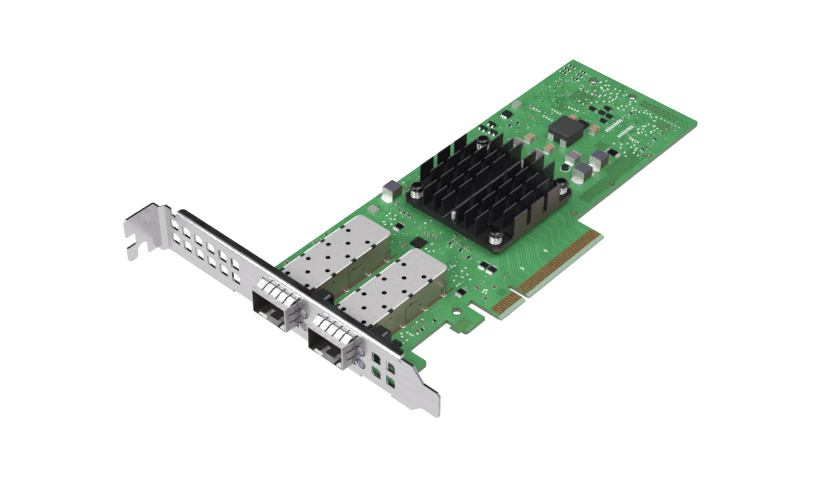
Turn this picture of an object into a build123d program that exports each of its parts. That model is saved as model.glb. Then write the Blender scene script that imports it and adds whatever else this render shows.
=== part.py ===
"""Dual-port network interface card: board, full-height bracket, two cages, heat sink and components.

+X runs from the bracket to the far end of the board, +Y up the card from the connector, +Z out of the component side.
The origin is the key notch's centre on the connector's bottom edge, on the board's component face.
"""

import os
from math import cos, pi, sin

from build123d import *

os.makedirs("parts", exist_ok=True)


def finish(piece, name):
    """Label a finished piece and write it under the same name."""
    piece.label = name
    export_step(piece, f"parts/{name}.step")


def across(y):
    """Plane at height y of the card, with +X and +Z as its axes, facing -Y."""
    return Plane(origin=(0, y, 0), x_dir=(1, 0, 0), z_dir=(0, -1, 0))


# Flats on small round features that repeat, which keep the mesh light
few_flats = 6
some_flats = 8
round_flats = 12

# Board
board_thickness = 1.57
board_left = -55.4
board_right = 110.5
board_top = 68.2
board_shoulder = 12.1
board_underside = -board_thickness

# Connector edge, with the sizes that the slot standard sets
connector_left = -12.6
connector_right = 39.6
notch_width = 1.9
notch_depth = 7.9
bevel_height = 1.3
bevel_depth = 0.4
contact_pitch = 1.0
contact_width = 0.7
contact_length = 4.0
contact_thickness = 0.05
contact_offset = 1.5
contacts_before_key = 11
contacts_after_key = 38

# Retention hook left of the connector, and the tab behind the bracket
hook_left = -24.5
hook_right = -15.6
hook_low = 4.1
tab_right = -41.9
tab_low = 4.3
board_corner_cut = 0.7

# Holes through the board
tooling_hole_diameter = 3.0
tooling_holes = ((104.8, 54.4), (106.5, 38.2), (-19.6, 12.2))
plated_hole_diameter = 1.4
plated_holes = ((83.1, 14.0), (62.3, 14.0), (41.6, 14.2))

# Bracket
sheet = 0.86
face_x = -57.15
bracket_low = -4.05
bracket_width = 18.42
bracket_high = bracket_low + bracket_width
bend_radius = 1.35
screw_tab_y = 106.75
screw_tab_edge_x = -70.9
joggle_y = 102.7
joggle_step = 1.9
flange_high_y = 97.6
flange_low_y = 2.4
flange_edge_x = -53.85
flange_corner_radius = 1.6
relief_width = 1.0
relief_at_joggle = 2.3
shoulder_y = -2.9
tail_shoulder_y = -7.0
tail_low = -0.33
tail_width = 10.19
tail_tip_y = -13.3
tail_corner_cut = 1.0
screw_slot_width = 4.42
screw_slot_bottom_x = -66.95
prong_low = -3.0
prong_corner_cut = 0.8
arch_width = 4.3
arch_centre_x = -64.85
arch_top = 1.7

# Vents and windows of the bracket
vent_columns = 6
vent_pitch_y = 5.54
vent_first_y = 98.6
vent_width = 3.5
vent_height = 3.6
vent_rows_z = (8.6, 2.8)
vent_corner_cut = 0.8
window_columns_y = (11.25, 5.55)
window_rows_z = (8.1, 2.2)

# Ears that carry the board, their screws and their clinch nuts
ear_centres_y = (66.2, 11.4)
ear_width = 10.0
ear_edge_x = -45.6
ear_corner_cut = 1.2
ear_screws = ((-50.0, 64.0), (-50.0, 10.5))
screw_diameter = 2.5
screw_head_diameter = 4.6
screw_head_height = 1.6
screw_end_clearance = 0.05
screw_hole_diameter = 2.9
nut_diameter = 4.8
nut_shank_diameter = 3.4
nut_clearance = 0.05

# Ports
port_1_y = 51.0
port_pitch = 23.7
port_ys = (port_1_y, port_1_y - port_pitch)
cage_front = -62.3
cage_rear = -14.2
cage_width = 14.05
cage_low = 0.85
cage_high = 9.8
cage_wall = 0.3
cage_corner_radius = 1.7
cage_hole_diameter = 1.7
cage_hole_pitch_x = 8.98
cage_hole_pitch_y = 4.15
cage_hole_first_x = -49.7
cage_notch_length = 1.6
cage_notch_depth = 0.9
cage_legs_x = (-45.6, -35.6, -25.5, -16.9)
cage_leg_width = 0.7
cage_leg_length = 2.4
cage_wall_setback = 2.0
leg_hole_diameter = 1.05
mouth_cut_width = 6.8
mouth_cut_length = 4.4
latch_width = 3.4
latch_inset = 0.9

# Spring finger collar
collar_sheet = 0.25
collar_band_rear = -60.2
finger_rear = -55.9
finger_gap = 0.4
top_fingers = 5
side_fingers = 3
top_crest = 1.2
top_crest_x = -58.2
side_crest = 0.58
side_crest_x = -58.7
finger_tip_share = 0.6
opening_low = -0.5
opening_high = 11.25
opening_clearance_side = 0.62

# Port connector inside the cage
socket_front = -26.5
socket_rear = -17.5
socket_width = 11.2
socket_height = 5.6
socket_slot_width = 9.6
socket_slot_height = 1.3
socket_slot_z = 4.1
socket_slot_depth = 6.5

# Light pipes, their holders and the diodes behind them
pipe_cage_gap = 0.675
pipe_rows_z = (6.85, 1.65)
pipe_diameter = 3.1
pipe_hole_diameter = 3.7
pipe_front = -57.1
pipe_clearance = 0.12
upper_pipe_rear = -46.6
lower_pipe_rear = -52.4
pipe_leg_width = 2.0
pipe_leg_gap = 0.3
pipe_web = 1.0
pipe_web_x = -54.6
holder_front = -56.1
holder_rear = -46.1
holder_width = 4.3
holder_height = 8.7
holder_step_width = 1.1
holder_step_drop = 0.5
holder_step_start = -51.0
diode_height = 0.8
diode_length = 1.6
diode_width = 0.8

# Heat sink
sink_size = 40.2
sink_centre = (26.5, 38.2)
sink_base_low = 2.4
sink_base_high = 5.2
sink_corner_cut = 1.5
fin_height = 7.1
fin_thickness = 0.36
fin_slot = 2.1
fin_columns = 5
fin_inner_offset = 3.1
fin_row_offset = 6.6
fin_rows_each_side = 4
channel_half_width = 2.5
channel_depth = 0.5
pocket_depth = 0.9
pocket_rows = 2
pocket_column_gap = 0.56
pocket_row_gap = 0.16
pin_inset = 3.3
pin_hole_diameter = 3.0
post_inset = 2.25
post_diameter = 1.3
post_height = 2.6

# Push pins and their springs
pin_head_diameter = 5.1
pin_head_height = 1.8
pin_head_top = 9.0
pin_shaft_diameter = 2.2
pin_barb_diameter = 3.5
pin_barb_gap = 0.05
pin_barb_taper = 20
pin_tip_z = -4.0
pin_board_hole_diameter = 3.2
spring_diameter = 4.1
spring_wire = 0.5
spring_turns = 3
spring_clearance = 0.03

# Controller under the heat sink
controller_size = 21.0
controller_low = 0.3
controller_substrate_height = 1.0
controller_lid_size = 18.0
controller_lid_high = 2.1

# Power inductor and power stage
inductor_size = (9.4, 9.2)
inductor_height = 4.7
inductor_stand = 0.2
inductor_centre = (71.9, 41.5)
inductor_terminal_width = 2.4
inductor_terminal_spacing = 5.4
inductor_terminal_sheet = 0.3
inductor_foot_length = 1.8
inductor_clip_height = 2.6
power_stage_size = (3.4, 4.0)
power_stage_height = 1.1
power_stage_centre = (80.8, 41.1)

# Tall framed capacitors
bulk_size = (5.2, 4.6)
bulk_low = 1.1
bulk_high = 4.3
bulk_frame = 0.25
bulk_foot = 0.9
bulk_places = ((8.0, 64.4), (58.4, 23.7), (67.6, 23.6))

# Lower grey block capacitors
block_size = (4.4, 3.8)
block_height = 2.4
block_end = 0.6
block_places = ((63.3, 31.4), (55.8, 50.2), (55.6, 41.5))

# Tan ceramic capacitors
ceramic_size = (3.2, 2.5)
ceramic_height = 1.8
ceramic_end = 0.5
ceramic_places = ((62.1, 49.5), (61.9, 40.8), (80.3, 45.2), (80.9, 35.9))

# Larger chip resistors: centre and turn of each
sense_size = (3.3, 2.4)
sense_height = 0.6
sense_end = 0.5
sense_places = ((-2.4, 51.9, 0), (2.0, 19.4, 0), (2.1, 16.2, 0), (-12.4, 16.6, 0))
shunt_size = (4.4, 2.4)
shunt_places = ((75.7, 23.8, 90),)

# Small chips
clock_chip_size = 4.0
clock_chip_height = 0.9
clock_chip_centre = (-4.2, 41.7)
oscillator_size = (2.6, 3.2)
oscillator_height = 0.9
oscillator_centre = (-1.9, 63.7)
crystal_size = (3.4, 2.6)
crystal_height = 1.1
crystal_centre = (74.3, 65.3)
choke_diameter = 2.6
choke_height = 1.2
choke_centre = (58.0, 30.7)
diode_body = (1.4, 2.4)
diode_body_height = 0.9
diode_places = ((90.7, 44.1), (91.1, 40.2), (94.4, 40.2), (87.7, 37.0), (91.2, 37.0))

# Leaded chips
lead_reach = 0.75
lead_sheet = 0.18
body_stand = 0.1
body_height = 1.1
four_leads = (-0.975, -0.325, 0.325, 0.975)
three_leads = (-0.95, 0, 0.95)
outer_leads = (-0.95, 0.95)
middle_lead = (0,)
fine_lead_width = 0.3
wide_lead_width = 0.42
square_body = (3.0, 3.0)
five_lead_body = (1.6, 2.9)
three_lead_body = (1.4, 2.9)

# Each chip: centre, body, lead width, then the leads toward the bracket and toward the far end
leaded_chips = (
    (67.5, 64.2, square_body, fine_lead_width, four_leads, four_leads),
    (-42.8, 15.9, five_lead_body, wide_lead_width, three_leads, outer_leads),
    (55.8, 65.2, three_lead_body, wide_lead_width, outer_leads, middle_lead),
    (59.6, 64.4, three_lead_body, wide_lead_width, outer_leads, middle_lead),
    (56.4, 61.2, three_lead_body, wide_lead_width, outer_leads, middle_lead),
)

# Small passives: centre and turn of each
small_size = (1.6, 0.8)
small_height = 0.5
small_end = 0.35
chip_capacitor_places = (
    (5.9, 60.2, 0), (-39.4, 66.6, 0), (-26.3, 66.6, 0), (1.0, 42.9, 90), (1.9, 40.2, 90),
    (-8.4, 44.6, 0), (98.6, 49.6, 0), (77.1, 60.6, 90), (72.6, 57.2, 90), (50.2, 29.0, 0),
)
chip_resistor_places = (
    (91.6, 17.5, 0), (84.2, 17.4, 0), (97.7, 32.6, 0), (63.6, 59.6, 90), (66.4, 58.4, 90),
    (-33.2, 14.6, 0), (-27.6, 14.4, 0), (2.6, 34.2, 90), (2.4, 29.6, 90), (1.6, 25.4, 90),
)

# Derived places
sink_x, sink_y = sink_centre
pin_spacing = sink_size - 2 * pin_inset
post_spacing = sink_size - 2 * post_inset
tail_high = tail_low + tail_width
ear_low = bracket_low
ear_high = bracket_low + sheet
fin_top = sink_base_high + fin_height
pin_places = [
    (sink_x + side_x * pin_spacing / 2, sink_y + side_y * pin_spacing / 2)
    for side_x, side_y in ((-1, 1), (1, 1), (1, -1), (-1, -1))
]
post_places = [(sink_x - post_spacing / 2, sink_y), (sink_x + post_spacing / 2, sink_y)]
leg_y = cage_width / 2 - cage_wall / 2
leg_places = [(x, y + side * leg_y) for y in port_ys for x in cage_legs_x for side in (-1, 1)]
pipe_ys = [y - cage_width / 2 - pipe_cage_gap - holder_width / 2 for y in port_ys]
vent_places = [(vent_first_y - column * vent_pitch_y, z) for z in vent_rows_z for column in range(vent_columns)]
window_places = [(y, z) for z in window_rows_z for y in window_columns_y]

# Board, cut to its outline and drilled
with BuildPart() as pcb:
    with BuildSketch():
        with BuildLine():
            Polyline(
                (board_left, board_top),
                (board_left, tab_low),
                (tab_right, tab_low),
                (tab_right, board_shoulder),
                (hook_left, board_shoulder),
                (hook_left, hook_low),
                (hook_right, hook_low),
                (hook_right, board_shoulder),
                (connector_left, board_shoulder),
                (connector_left, 0),
                (connector_right, 0),
                (connector_right, board_shoulder),
                (board_right, board_shoulder),
                (board_right, board_top),
                close=True,
            )
        make_face()
        corners = [
            v
            for v in vertices()
            if (v.X, v.Y) in ((tab_right, tab_low), (hook_left, hook_low), (board_right, board_shoulder))
        ]
        chamfer(corners, length=board_corner_cut)
        with Locations((0, (notch_depth - notch_width / 2) / 2)):
            Rectangle(notch_width, notch_depth - notch_width / 2, mode=Mode.SUBTRACT)
        with Locations((0, notch_depth - notch_width / 2)):
            Circle(notch_width / 2, mode=Mode.SUBTRACT)
        with Locations(*tooling_holes):
            RegularPolygon(tooling_hole_diameter / 2, round_flats, mode=Mode.SUBTRACT)
        with Locations(*ear_screws):
            RegularPolygon(screw_hole_diameter / 2, some_flats, mode=Mode.SUBTRACT)
        with Locations(*pin_places):
            RegularPolygon(pin_board_hole_diameter / 2, some_flats, mode=Mode.SUBTRACT)
        with Locations(*plated_holes):
            RegularPolygon(plated_hole_diameter / 2, some_flats, mode=Mode.SUBTRACT)
        with Locations(*leg_places):
            RegularPolygon(leg_hole_diameter / 2, few_flats, mode=Mode.SUBTRACT)
    extrude(amount=-board_thickness)
    with BuildSketch(Plane.YZ.offset(connector_left)):
        for face_z, inward in ((0, -1), (board_underside, 1)):
            with BuildLine():
                Polyline(
                    (0, face_z),
                    (bevel_height, face_z),
                    (0, face_z + inward * bevel_depth),
                    close=True,
                )
            make_face()
    extrude(amount=connector_right - connector_left, mode=Mode.SUBTRACT)
finish(pcb.part, "pcb")

# Gold contacts, the same on both faces
contact_xs = [-contact_offset - n * contact_pitch for n in range(contacts_before_key)]
contact_xs += [contact_offset + n * contact_pitch for n in range(contacts_after_key)]
contact_y = bevel_height + contact_length / 2
for name, face_z, outward in (
    ("edge_contacts_front", 0, 1),
    ("edge_contacts_back", board_underside, -1),
):
    with BuildPart() as contacts:
        with BuildSketch(Plane.XY.offset(face_z)):
            with Locations(*[(x, contact_y) for x in contact_xs]):
                Rectangle(contact_width, contact_length)
        extrude(amount=outward * contact_thickness)
    finish(contacts.part, name)

# Vent opening, with one corner cut
with BuildSketch() as vent_shape:
    Rectangle(vent_width, vent_height)
    chamfer(vertices().group_by(Axis.Y)[-1].sort_by(Axis.X)[0], length=vent_corner_cut)

# Bracket: face, folds and cut-outs of one sheet
with BuildPart() as bracket:
    with BuildSketch(Plane.YZ.offset(face_x)):
        with BuildLine():
            Polyline(
                (joggle_y, bracket_low),
                (joggle_y, bracket_high),
                (flange_high_y + relief_at_joggle, bracket_high),
                (flange_high_y + relief_at_joggle, bracket_high - relief_at_joggle),
                (flange_high_y, bracket_high - relief_at_joggle),
                (flange_high_y, bracket_high - bend_radius),
                (flange_low_y - relief_width, bracket_high - bend_radius),
                (flange_low_y - relief_width, bracket_high),
                (shoulder_y, bracket_high),
                (tail_shoulder_y, tail_high),
                (tail_tip_y + 1.0, tail_high),
                (tail_tip_y, tail_high - 1.0),
                (tail_tip_y, tail_low),
                (tail_shoulder_y + 0.4, tail_low),
                (shoulder_y + 0.4, bracket_low),
                close=True,
            )
        make_face()
        tip = vertices().group_by(Axis.X)[0].sort_by(Axis.Y)[0]
        chamfer(tip, length=tail_corner_cut)
    extrude(amount=sheet)

    # Joggle and screw tab, folded in plan
    with BuildSketch(Plane.XY.offset(bracket_low)):
        with BuildLine():
            Polyline(
                (face_x, joggle_y),
                (face_x - joggle_step, joggle_y + sheet),
                (face_x - joggle_step, screw_tab_y - sheet),
                (screw_tab_edge_x, screw_tab_y - sheet),
                (screw_tab_edge_x, screw_tab_y),
                (face_x - joggle_step + sheet, screw_tab_y),
                (face_x - joggle_step + sheet, joggle_y + sheet),
                (face_x + sheet, joggle_y),
                close=True,
            )
        make_face()
        fold = vertices().sort_by_distance((face_x - joggle_step + sheet, screw_tab_y))[0]
        fillet(fold, radius=sheet)
    extrude(amount=bracket_width)

    # Return flange along the upper long edge
    with BuildSketch(across(flange_high_y)):
        with BuildLine():
            Line((face_x, bracket_high - bend_radius), (face_x + sheet, bracket_high - bend_radius))
            RadiusArc(
                (face_x + sheet, bracket_high - bend_radius),
                (face_x + bend_radius, bracket_high - sheet),
                bend_radius - sheet,
            )
            Polyline(
                (face_x + bend_radius, bracket_high - sheet),
                (flange_edge_x, bracket_high - sheet),
                (flange_edge_x, bracket_high),
                (face_x + bend_radius, bracket_high),
            )
            RadiusArc(
                (face_x + bend_radius, bracket_high),
                (face_x, bracket_high - bend_radius),
                -bend_radius,
            )
        make_face()
    extrude(amount=flange_high_y - flange_low_y)
    flange_corners = edges().filter_by(Axis.Z).group_by(Axis.X)[-1]
    fillet(flange_corners, radius=flange_corner_radius)

    # Ears folded from the lower long edge, under the board
    for ear_y in ear_centres_y:
        with BuildSketch(across(ear_y + ear_width / 2)):
            with BuildLine():
                Line((face_x, bracket_low + bend_radius), (face_x + sheet, bracket_low + bend_radius))
                RadiusArc(
                    (face_x + sheet, bracket_low + bend_radius),
                    (face_x + bend_radius, ear_high),
                    -(bend_radius - sheet),
                )
                Polyline(
                    (face_x + bend_radius, ear_high),
                    (ear_edge_x, ear_high),
                    (ear_edge_x, ear_low),
                    (face_x + bend_radius, ear_low),
                )
                RadiusArc(
                    (face_x + bend_radius, ear_low),
                    (face_x, bracket_low + bend_radius),
                    bend_radius,
                )
            make_face()
        extrude(amount=ear_width)
    ear_corners = edges().filter_by(Axis.Z).group_by(Axis.X)[-1]
    chamfer(ear_corners, length=ear_corner_cut)

    # Square corners outside each ear's bend, and a relief slit at each of its ends
    with BuildSketch(Plane.YZ.offset(face_x)):
        for ear_y in ear_centres_y:
            for side in (-1, 1):
                with Locations((ear_y + side * (ear_width + relief_width) / 2, bracket_low)):
                    Rectangle(relief_width, 2 * bend_radius)
    extrude(amount=sheet, mode=Mode.SUBTRACT)
    for ear_y in ear_centres_y:
        with BuildSketch(across(ear_y + ear_width / 2)):
            with BuildLine():
                Polyline(
                    (face_x, bracket_low + bend_radius),
                    (face_x, bracket_low),
                    (face_x + bend_radius, bracket_low),
                )
                RadiusArc(
                    (face_x + bend_radius, bracket_low),
                    (face_x, bracket_low + bend_radius),
                    bend_radius,
                )
            make_face()
        extrude(amount=ear_width, mode=Mode.SUBTRACT)

    # Nut seats in the ears
    with BuildSketch(Plane.XY.offset(bracket_low)):
        with Locations(*ear_screws):
            RegularPolygon(nut_shank_diameter / 2, some_flats)
    extrude(amount=sheet, mode=Mode.SUBTRACT)

    # Screw slot, arch and corner of the tab
    slot_z = bracket_low + bracket_width / 2
    with BuildSketch(across(screw_tab_y)):
        with Locations(((screw_tab_edge_x + screw_slot_bottom_x) / 2, slot_z)):
            Rectangle(screw_slot_bottom_x - screw_tab_edge_x, screw_slot_width)
        with Locations((arch_centre_x, (bracket_low + arch_top - arch_width / 2) / 2)):
            Rectangle(arch_width, arch_top - arch_width / 2 - bracket_low)
        with Locations((arch_centre_x, arch_top - arch_width / 2)):
            Circle(arch_width / 2)
        with Locations(((screw_tab_edge_x + arch_centre_x) / 2, (bracket_low + prong_low) / 2)):
            Rectangle(arch_centre_x - screw_tab_edge_x, prong_low - bracket_low)
        with BuildLine():
            Polyline(
                (screw_tab_edge_x, bracket_high),
                (screw_tab_edge_x + 1.0, bracket_high),
                (screw_tab_edge_x, bracket_high - 0.9),
                close=True,
            )
        make_face()
    extrude(amount=sheet, mode=Mode.SUBTRACT)
    prong_tips = edges().filter_by(Axis.Y).filter_by_position(Axis.Z, prong_low - 0.01, prong_low + 0.01)
    chamfer(prong_tips, length=prong_corner_cut)

    # Vents, windows, pipe holes and port openings through the face
    with BuildSketch(Plane.YZ.offset(face_x)):
        with Locations(*vent_places, *window_places):
            add(vent_shape.sketch)
        for y in port_ys:
            with Locations((y, (opening_low + opening_high) / 2)):
                Rectangle(cage_width + 2 * opening_clearance_side, opening_high - opening_low)
        for y in pipe_ys:
            with Locations(*[(y, z) for z in pipe_rows_z]):
                RegularPolygon(pipe_hole_diameter / 2, round_flats)
    extrude(amount=sheet, mode=Mode.SUBTRACT)
finish(bracket.part, "bracket")

# Screws and clinch nuts that hold the ears under the board
for number, (x, y) in enumerate(ear_screws, 1):
    with BuildPart() as screw:
        with BuildSketch(Plane.XY):
            with Locations((x, y)):
                RegularPolygon(screw_head_diameter / 2, round_flats)
        extrude(amount=screw_head_height)
        with BuildSketch(Plane.XY):
            with Locations((x, y)):
                RegularPolygon(screw_diameter / 2, some_flats)
        extrude(amount=ear_low + screw_end_clearance)
    finish(screw.part, f"bracket_screw_{number}")
    with BuildPart() as nut:
        with BuildSketch(Plane.XY.offset(board_underside)):
            with Locations((x, y)):
                RegularPolygon(nut_diameter / 2, 6)
        extrude(amount=ear_high - board_underside)
        with BuildSketch(Plane.XY.offset(ear_high)):
            with Locations((x, y)):
                RegularPolygon(nut_shank_diameter / 2 - nut_clearance, some_flats)
        extrude(amount=-sheet)
        with BuildSketch(Plane.XY.offset(board_underside)):
            with Locations((x, y)):
                RegularPolygon(screw_diameter / 2 + nut_clearance, some_flats)
        extrude(amount=ear_low - board_underside, mode=Mode.SUBTRACT)
    finish(nut.part, f"bracket_nut_{number}")

# Cages, spring collars and the connectors inside
for number, port_y in enumerate(port_ys, 1):
    cage_length = cage_rear - cage_front
    cage_mid_x = (cage_rear + cage_front) / 2
    wall_front = board_left + cage_wall_setback
    with BuildPart() as cage:
        with BuildSketch(Plane.XY):
            with Locations(((wall_front + cage_rear) / 2, port_y)):
                Rectangle(cage_rear - wall_front, cage_width)
            fillet(vertices().group_by(Axis.X)[-1], radius=cage_corner_radius)
        extrude(amount=cage_high)
        with BuildSketch(Plane.XY.offset(cage_low)):
            with Locations(((cage_front + wall_front) / 2, port_y)):
                Rectangle(wall_front - cage_front, cage_width)
        extrude(amount=cage_high - cage_low)

        # Hollow inside, open at the mouth and under the connector
        with BuildSketch(Plane.XY.offset(cage_low + cage_wall)):
            with Locations(((cage_front + cage_rear - cage_wall) / 2, port_y)):
                Rectangle(cage_length - cage_wall, cage_width - 2 * cage_wall)
            chamfer(vertices().group_by(Axis.X)[-1], length=cage_corner_radius - cage_wall)
        extrude(amount=cage_high - cage_low - 2 * cage_wall, mode=Mode.SUBTRACT)
        with BuildSketch(Plane.XY):
            with Locations(((wall_front + cage_rear - cage_wall) / 2, port_y)):
                Rectangle(cage_rear - wall_front - cage_wall, cage_width - 2 * cage_wall)
            chamfer(vertices().group_by(Axis.X)[-1], length=cage_corner_radius - cage_wall)
        extrude(amount=cage_low, mode=Mode.SUBTRACT)
        with BuildSketch(Plane.XY):
            with Locations(((socket_front - 1.0 + cage_rear - cage_wall) / 2, port_y)):
                Rectangle(cage_rear - cage_wall - socket_front + 1.0, cage_width - 2 * cage_wall)
            chamfer(vertices().group_by(Axis.X)[-1], length=cage_corner_radius - cage_wall)
        extrude(amount=cage_low + cage_wall, mode=Mode.SUBTRACT)

        # Latch tongue between two cuts at the mouth's lower edge
        with BuildSketch(Plane.XY.offset(cage_low)):
            with Locations((cage_front + mouth_cut_length / 2, port_y)):
                Rectangle(mouth_cut_length, mouth_cut_width)
            with Locations((cage_front + mouth_cut_length / 2 + latch_inset, port_y)):
                Rectangle(mouth_cut_length - 2 * latch_inset, latch_width, mode=Mode.SUBTRACT)
        extrude(amount=cage_wall, mode=Mode.SUBTRACT)

        # Round holes in the top, the middle row staggered
        with BuildSketch(Plane.XY.offset(cage_high)):
            for column in range(4):
                x = cage_hole_first_x + column * cage_hole_pitch_x
                with Locations((x, port_y - cage_hole_pitch_y), (x, port_y + cage_hole_pitch_y)):
                    RegularPolygon(cage_hole_diameter / 2, some_flats)
            for column in range(3):
                x = cage_hole_first_x + (column + 0.5) * cage_hole_pitch_x
                with Locations((x, port_y)):
                    RegularPolygon(cage_hole_diameter / 2, some_flats)
        extrude(amount=-cage_wall, mode=Mode.SUBTRACT)

        # Notches along both upper long edges
        with BuildSketch(Plane.XY.offset(cage_high)):
            for column in range(4):
                x = cage_hole_first_x + column * cage_hole_pitch_x
                for side in (-1, 1):
                    with Locations((x, port_y + side * cage_width / 2)):
                        Rectangle(cage_notch_length, 2 * cage_notch_depth)
        extrude(amount=-cage_notch_depth, mode=Mode.SUBTRACT)

        # Flap seams cut through both side walls
        with BuildSketch(across(port_y + cage_width / 2)):
            for x, z, run in ((-34.2, 6.1, 5.6), (-17.6, 2.9, 3.0)):
                with Locations((x, (0.6 + z) / 2)):
                    Rectangle(0.3, z - 0.6)
                with Locations((x + run / 2, z)):
                    Rectangle(run, 0.3)
        extrude(amount=cage_width, mode=Mode.SUBTRACT)

        # Press-fit legs through the board
        for side in (-1, 1):
            with BuildSketch(Plane.XY):
                with Locations(*[(x, port_y + side * leg_y) for x in cage_legs_x]):
                    Rectangle(cage_leg_width, cage_wall)
            extrude(amount=-cage_leg_length)
    finish(cage.part, f"sfp_cage_{number}")

    with BuildPart() as collar:
        with BuildSketch(Plane.YZ.offset(cage_front)):
            with Locations((port_y, (cage_low + cage_high) / 2)):
                Rectangle(cage_width + 2 * collar_sheet, cage_high - cage_low + 2 * collar_sheet)
                Rectangle(cage_width, cage_high - cage_low, mode=Mode.SUBTRACT)
        extrude(amount=collar_band_rear - cage_front)

        # Fingers over and under the cage: up from the band to a crest, then down to the tip
        finger_pitch = (cage_width + finger_gap) / top_fingers
        for surface_z, outward, crest in ((cage_high, 1, top_crest), (cage_low, -1, side_crest)):
            band_z = surface_z + outward * collar_sheet
            crest_z = surface_z + outward * crest
            tip_z = surface_z + outward * finger_tip_share * crest
            for finger in range(top_fingers):
                finger_y = port_y - cage_width / 2 + finger * finger_pitch
                with BuildSketch(across(finger_y + finger_pitch - finger_gap)):
                    with BuildLine():
                        Polyline(
                            (collar_band_rear, surface_z),
                            (collar_band_rear, band_z),
                            (top_crest_x, crest_z),
                            (finger_rear, tip_z),
                            (finger_rear, tip_z - outward * collar_sheet),
                            (top_crest_x, crest_z - outward * collar_sheet),
                            close=True,
                        )
                    make_face()
                extrude(amount=finger_pitch - finger_gap)

        # Fingers at both sides, which lie flatter so that they pass through the bracket
        finger_pitch = (cage_high - cage_low + finger_gap) / side_fingers
        for side in (-1, 1):
            surface_y = port_y + side * cage_width / 2
            band_y = surface_y + side * collar_sheet
            crest_y = surface_y + side * side_crest
            tip_y = surface_y + side * finger_tip_share * side_crest
            for finger in range(side_fingers):
                with BuildSketch(Plane.XY.offset(cage_low + finger * finger_pitch)):
                    with BuildLine():
                        Polyline(
                            (collar_band_rear, surface_y),
                            (collar_band_rear, band_y),
                            (side_crest_x, crest_y),
                            (finger_rear, tip_y),
                            (finger_rear, tip_y - side * collar_sheet),
                            (side_crest_x, crest_y - side * collar_sheet),
                            close=True,
                        )
                    make_face()
                extrude(amount=finger_pitch - finger_gap)
    finish(collar.part, f"emi_collar_{number}")

    with BuildPart() as socket:
        with BuildSketch(Plane.XY):
            with Locations(((socket_front + socket_rear) / 2, port_y)):
                Rectangle(socket_rear - socket_front, socket_width)
        extrude(amount=socket_height)
        chamfer(edges().group_by(Axis.Z)[-1].sort_by(Axis.X)[0], length=0.8)
        with BuildSketch(Plane.YZ.offset(socket_front)):
            with Locations((port_y, socket_slot_z)):
                Rectangle(socket_slot_width, socket_slot_height)
        extrude(amount=socket_slot_depth, mode=Mode.SUBTRACT)
    finish(socket.part, f"port_connector_{number}")

# Light pipes, their holders and their diodes
for number, pipe_y in enumerate(pipe_ys, 1):
    upper_z, lower_z = pipe_rows_z
    with BuildPart() as pipe:
        with BuildSketch(Plane.YZ.offset(pipe_front)):
            with Locations((pipe_y, upper_z)):
                RegularPolygon(pipe_diameter / 2, round_flats)
        extrude(amount=upper_pipe_rear - pipe_front)
        with BuildSketch(Plane.YZ.offset(pipe_front)):
            with Locations((pipe_y, lower_z)):
                RegularPolygon(pipe_diameter / 2, round_flats)
        extrude(amount=lower_pipe_rear - pipe_front)
        with BuildSketch(across(pipe_y + pipe_leg_width / 2)):
            with BuildLine():
                Polyline(
                    (upper_pipe_rear, upper_z),
                    (upper_pipe_rear, diode_height + pipe_leg_gap),
                    (upper_pipe_rear - pipe_leg_width, diode_height + pipe_leg_gap),
                    (upper_pipe_rear - pipe_leg_width, upper_z),
                    close=True,
                )
            make_face()
        extrude(amount=pipe_leg_width)
        with BuildSketch(across(pipe_y + pipe_web / 2)):
            with Locations((pipe_web_x, (upper_z + lower_z) / 2)):
                Rectangle(pipe_web, upper_z - lower_z - pipe_web)
        extrude(amount=pipe_web)
    finish(pipe.part, f"light_pipe_{number}")

    with BuildPart() as holder:
        with BuildSketch(Plane.XY):
            with Locations(((holder_front + holder_rear) / 2, pipe_y)):
                Rectangle(holder_rear - holder_front, holder_width)
        extrude(amount=holder_height)
        chamfer(edges().group_by(Axis.Z)[-1].sort_by(Axis.X)[-1], length=0.3)
        with BuildSketch(Plane.XY.offset(holder_height)):
            with Locations(((holder_step_start + holder_rear) / 2, pipe_y - (holder_width - holder_step_width) / 2)):
                Rectangle(holder_rear - holder_step_start, holder_step_width)
        extrude(amount=-holder_step_drop, mode=Mode.SUBTRACT)

        # Channel for the upper rod, open below over the lower rod and the leg
        channel_half = pipe_diameter / 2 + pipe_clearance
        with BuildSketch(Plane.YZ.offset(holder_front)):
            with Locations((pipe_y, upper_z)):
                Rectangle(2 * channel_half, 2 * channel_half)
        extrude(amount=upper_pipe_rear + pipe_clearance - holder_front, mode=Mode.SUBTRACT)
        lower_end = lower_pipe_rear + diode_length + 2 * pipe_leg_gap
        with BuildSketch(Plane.YZ.offset(holder_front)):
            with Locations((pipe_y, upper_z / 2)):
                Rectangle(2 * channel_half, upper_z)
        extrude(amount=lower_end - holder_front, mode=Mode.SUBTRACT)
        with BuildSketch(Plane.XY):
            with Locations((upper_pipe_rear - pipe_leg_width / 2, pipe_y)):
                Rectangle(pipe_leg_width + 2 * pipe_clearance, pipe_leg_width + 2 * pipe_clearance)
        extrude(amount=upper_z, mode=Mode.SUBTRACT)
    finish(holder.part, f"light_pipe_holder_{number}")

    with BuildPart() as diodes_behind_pipes:
        with BuildSketch(Plane.XY):
            with Locations(
                (upper_pipe_rear - pipe_leg_width / 2, pipe_y),
                (lower_pipe_rear + pipe_leg_gap + diode_length / 2, pipe_y),
            ):
                Rectangle(diode_length, diode_width)
        extrude(amount=diode_height)
    finish(diodes_behind_pipes.part, f"status_leds_{number}")

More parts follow.
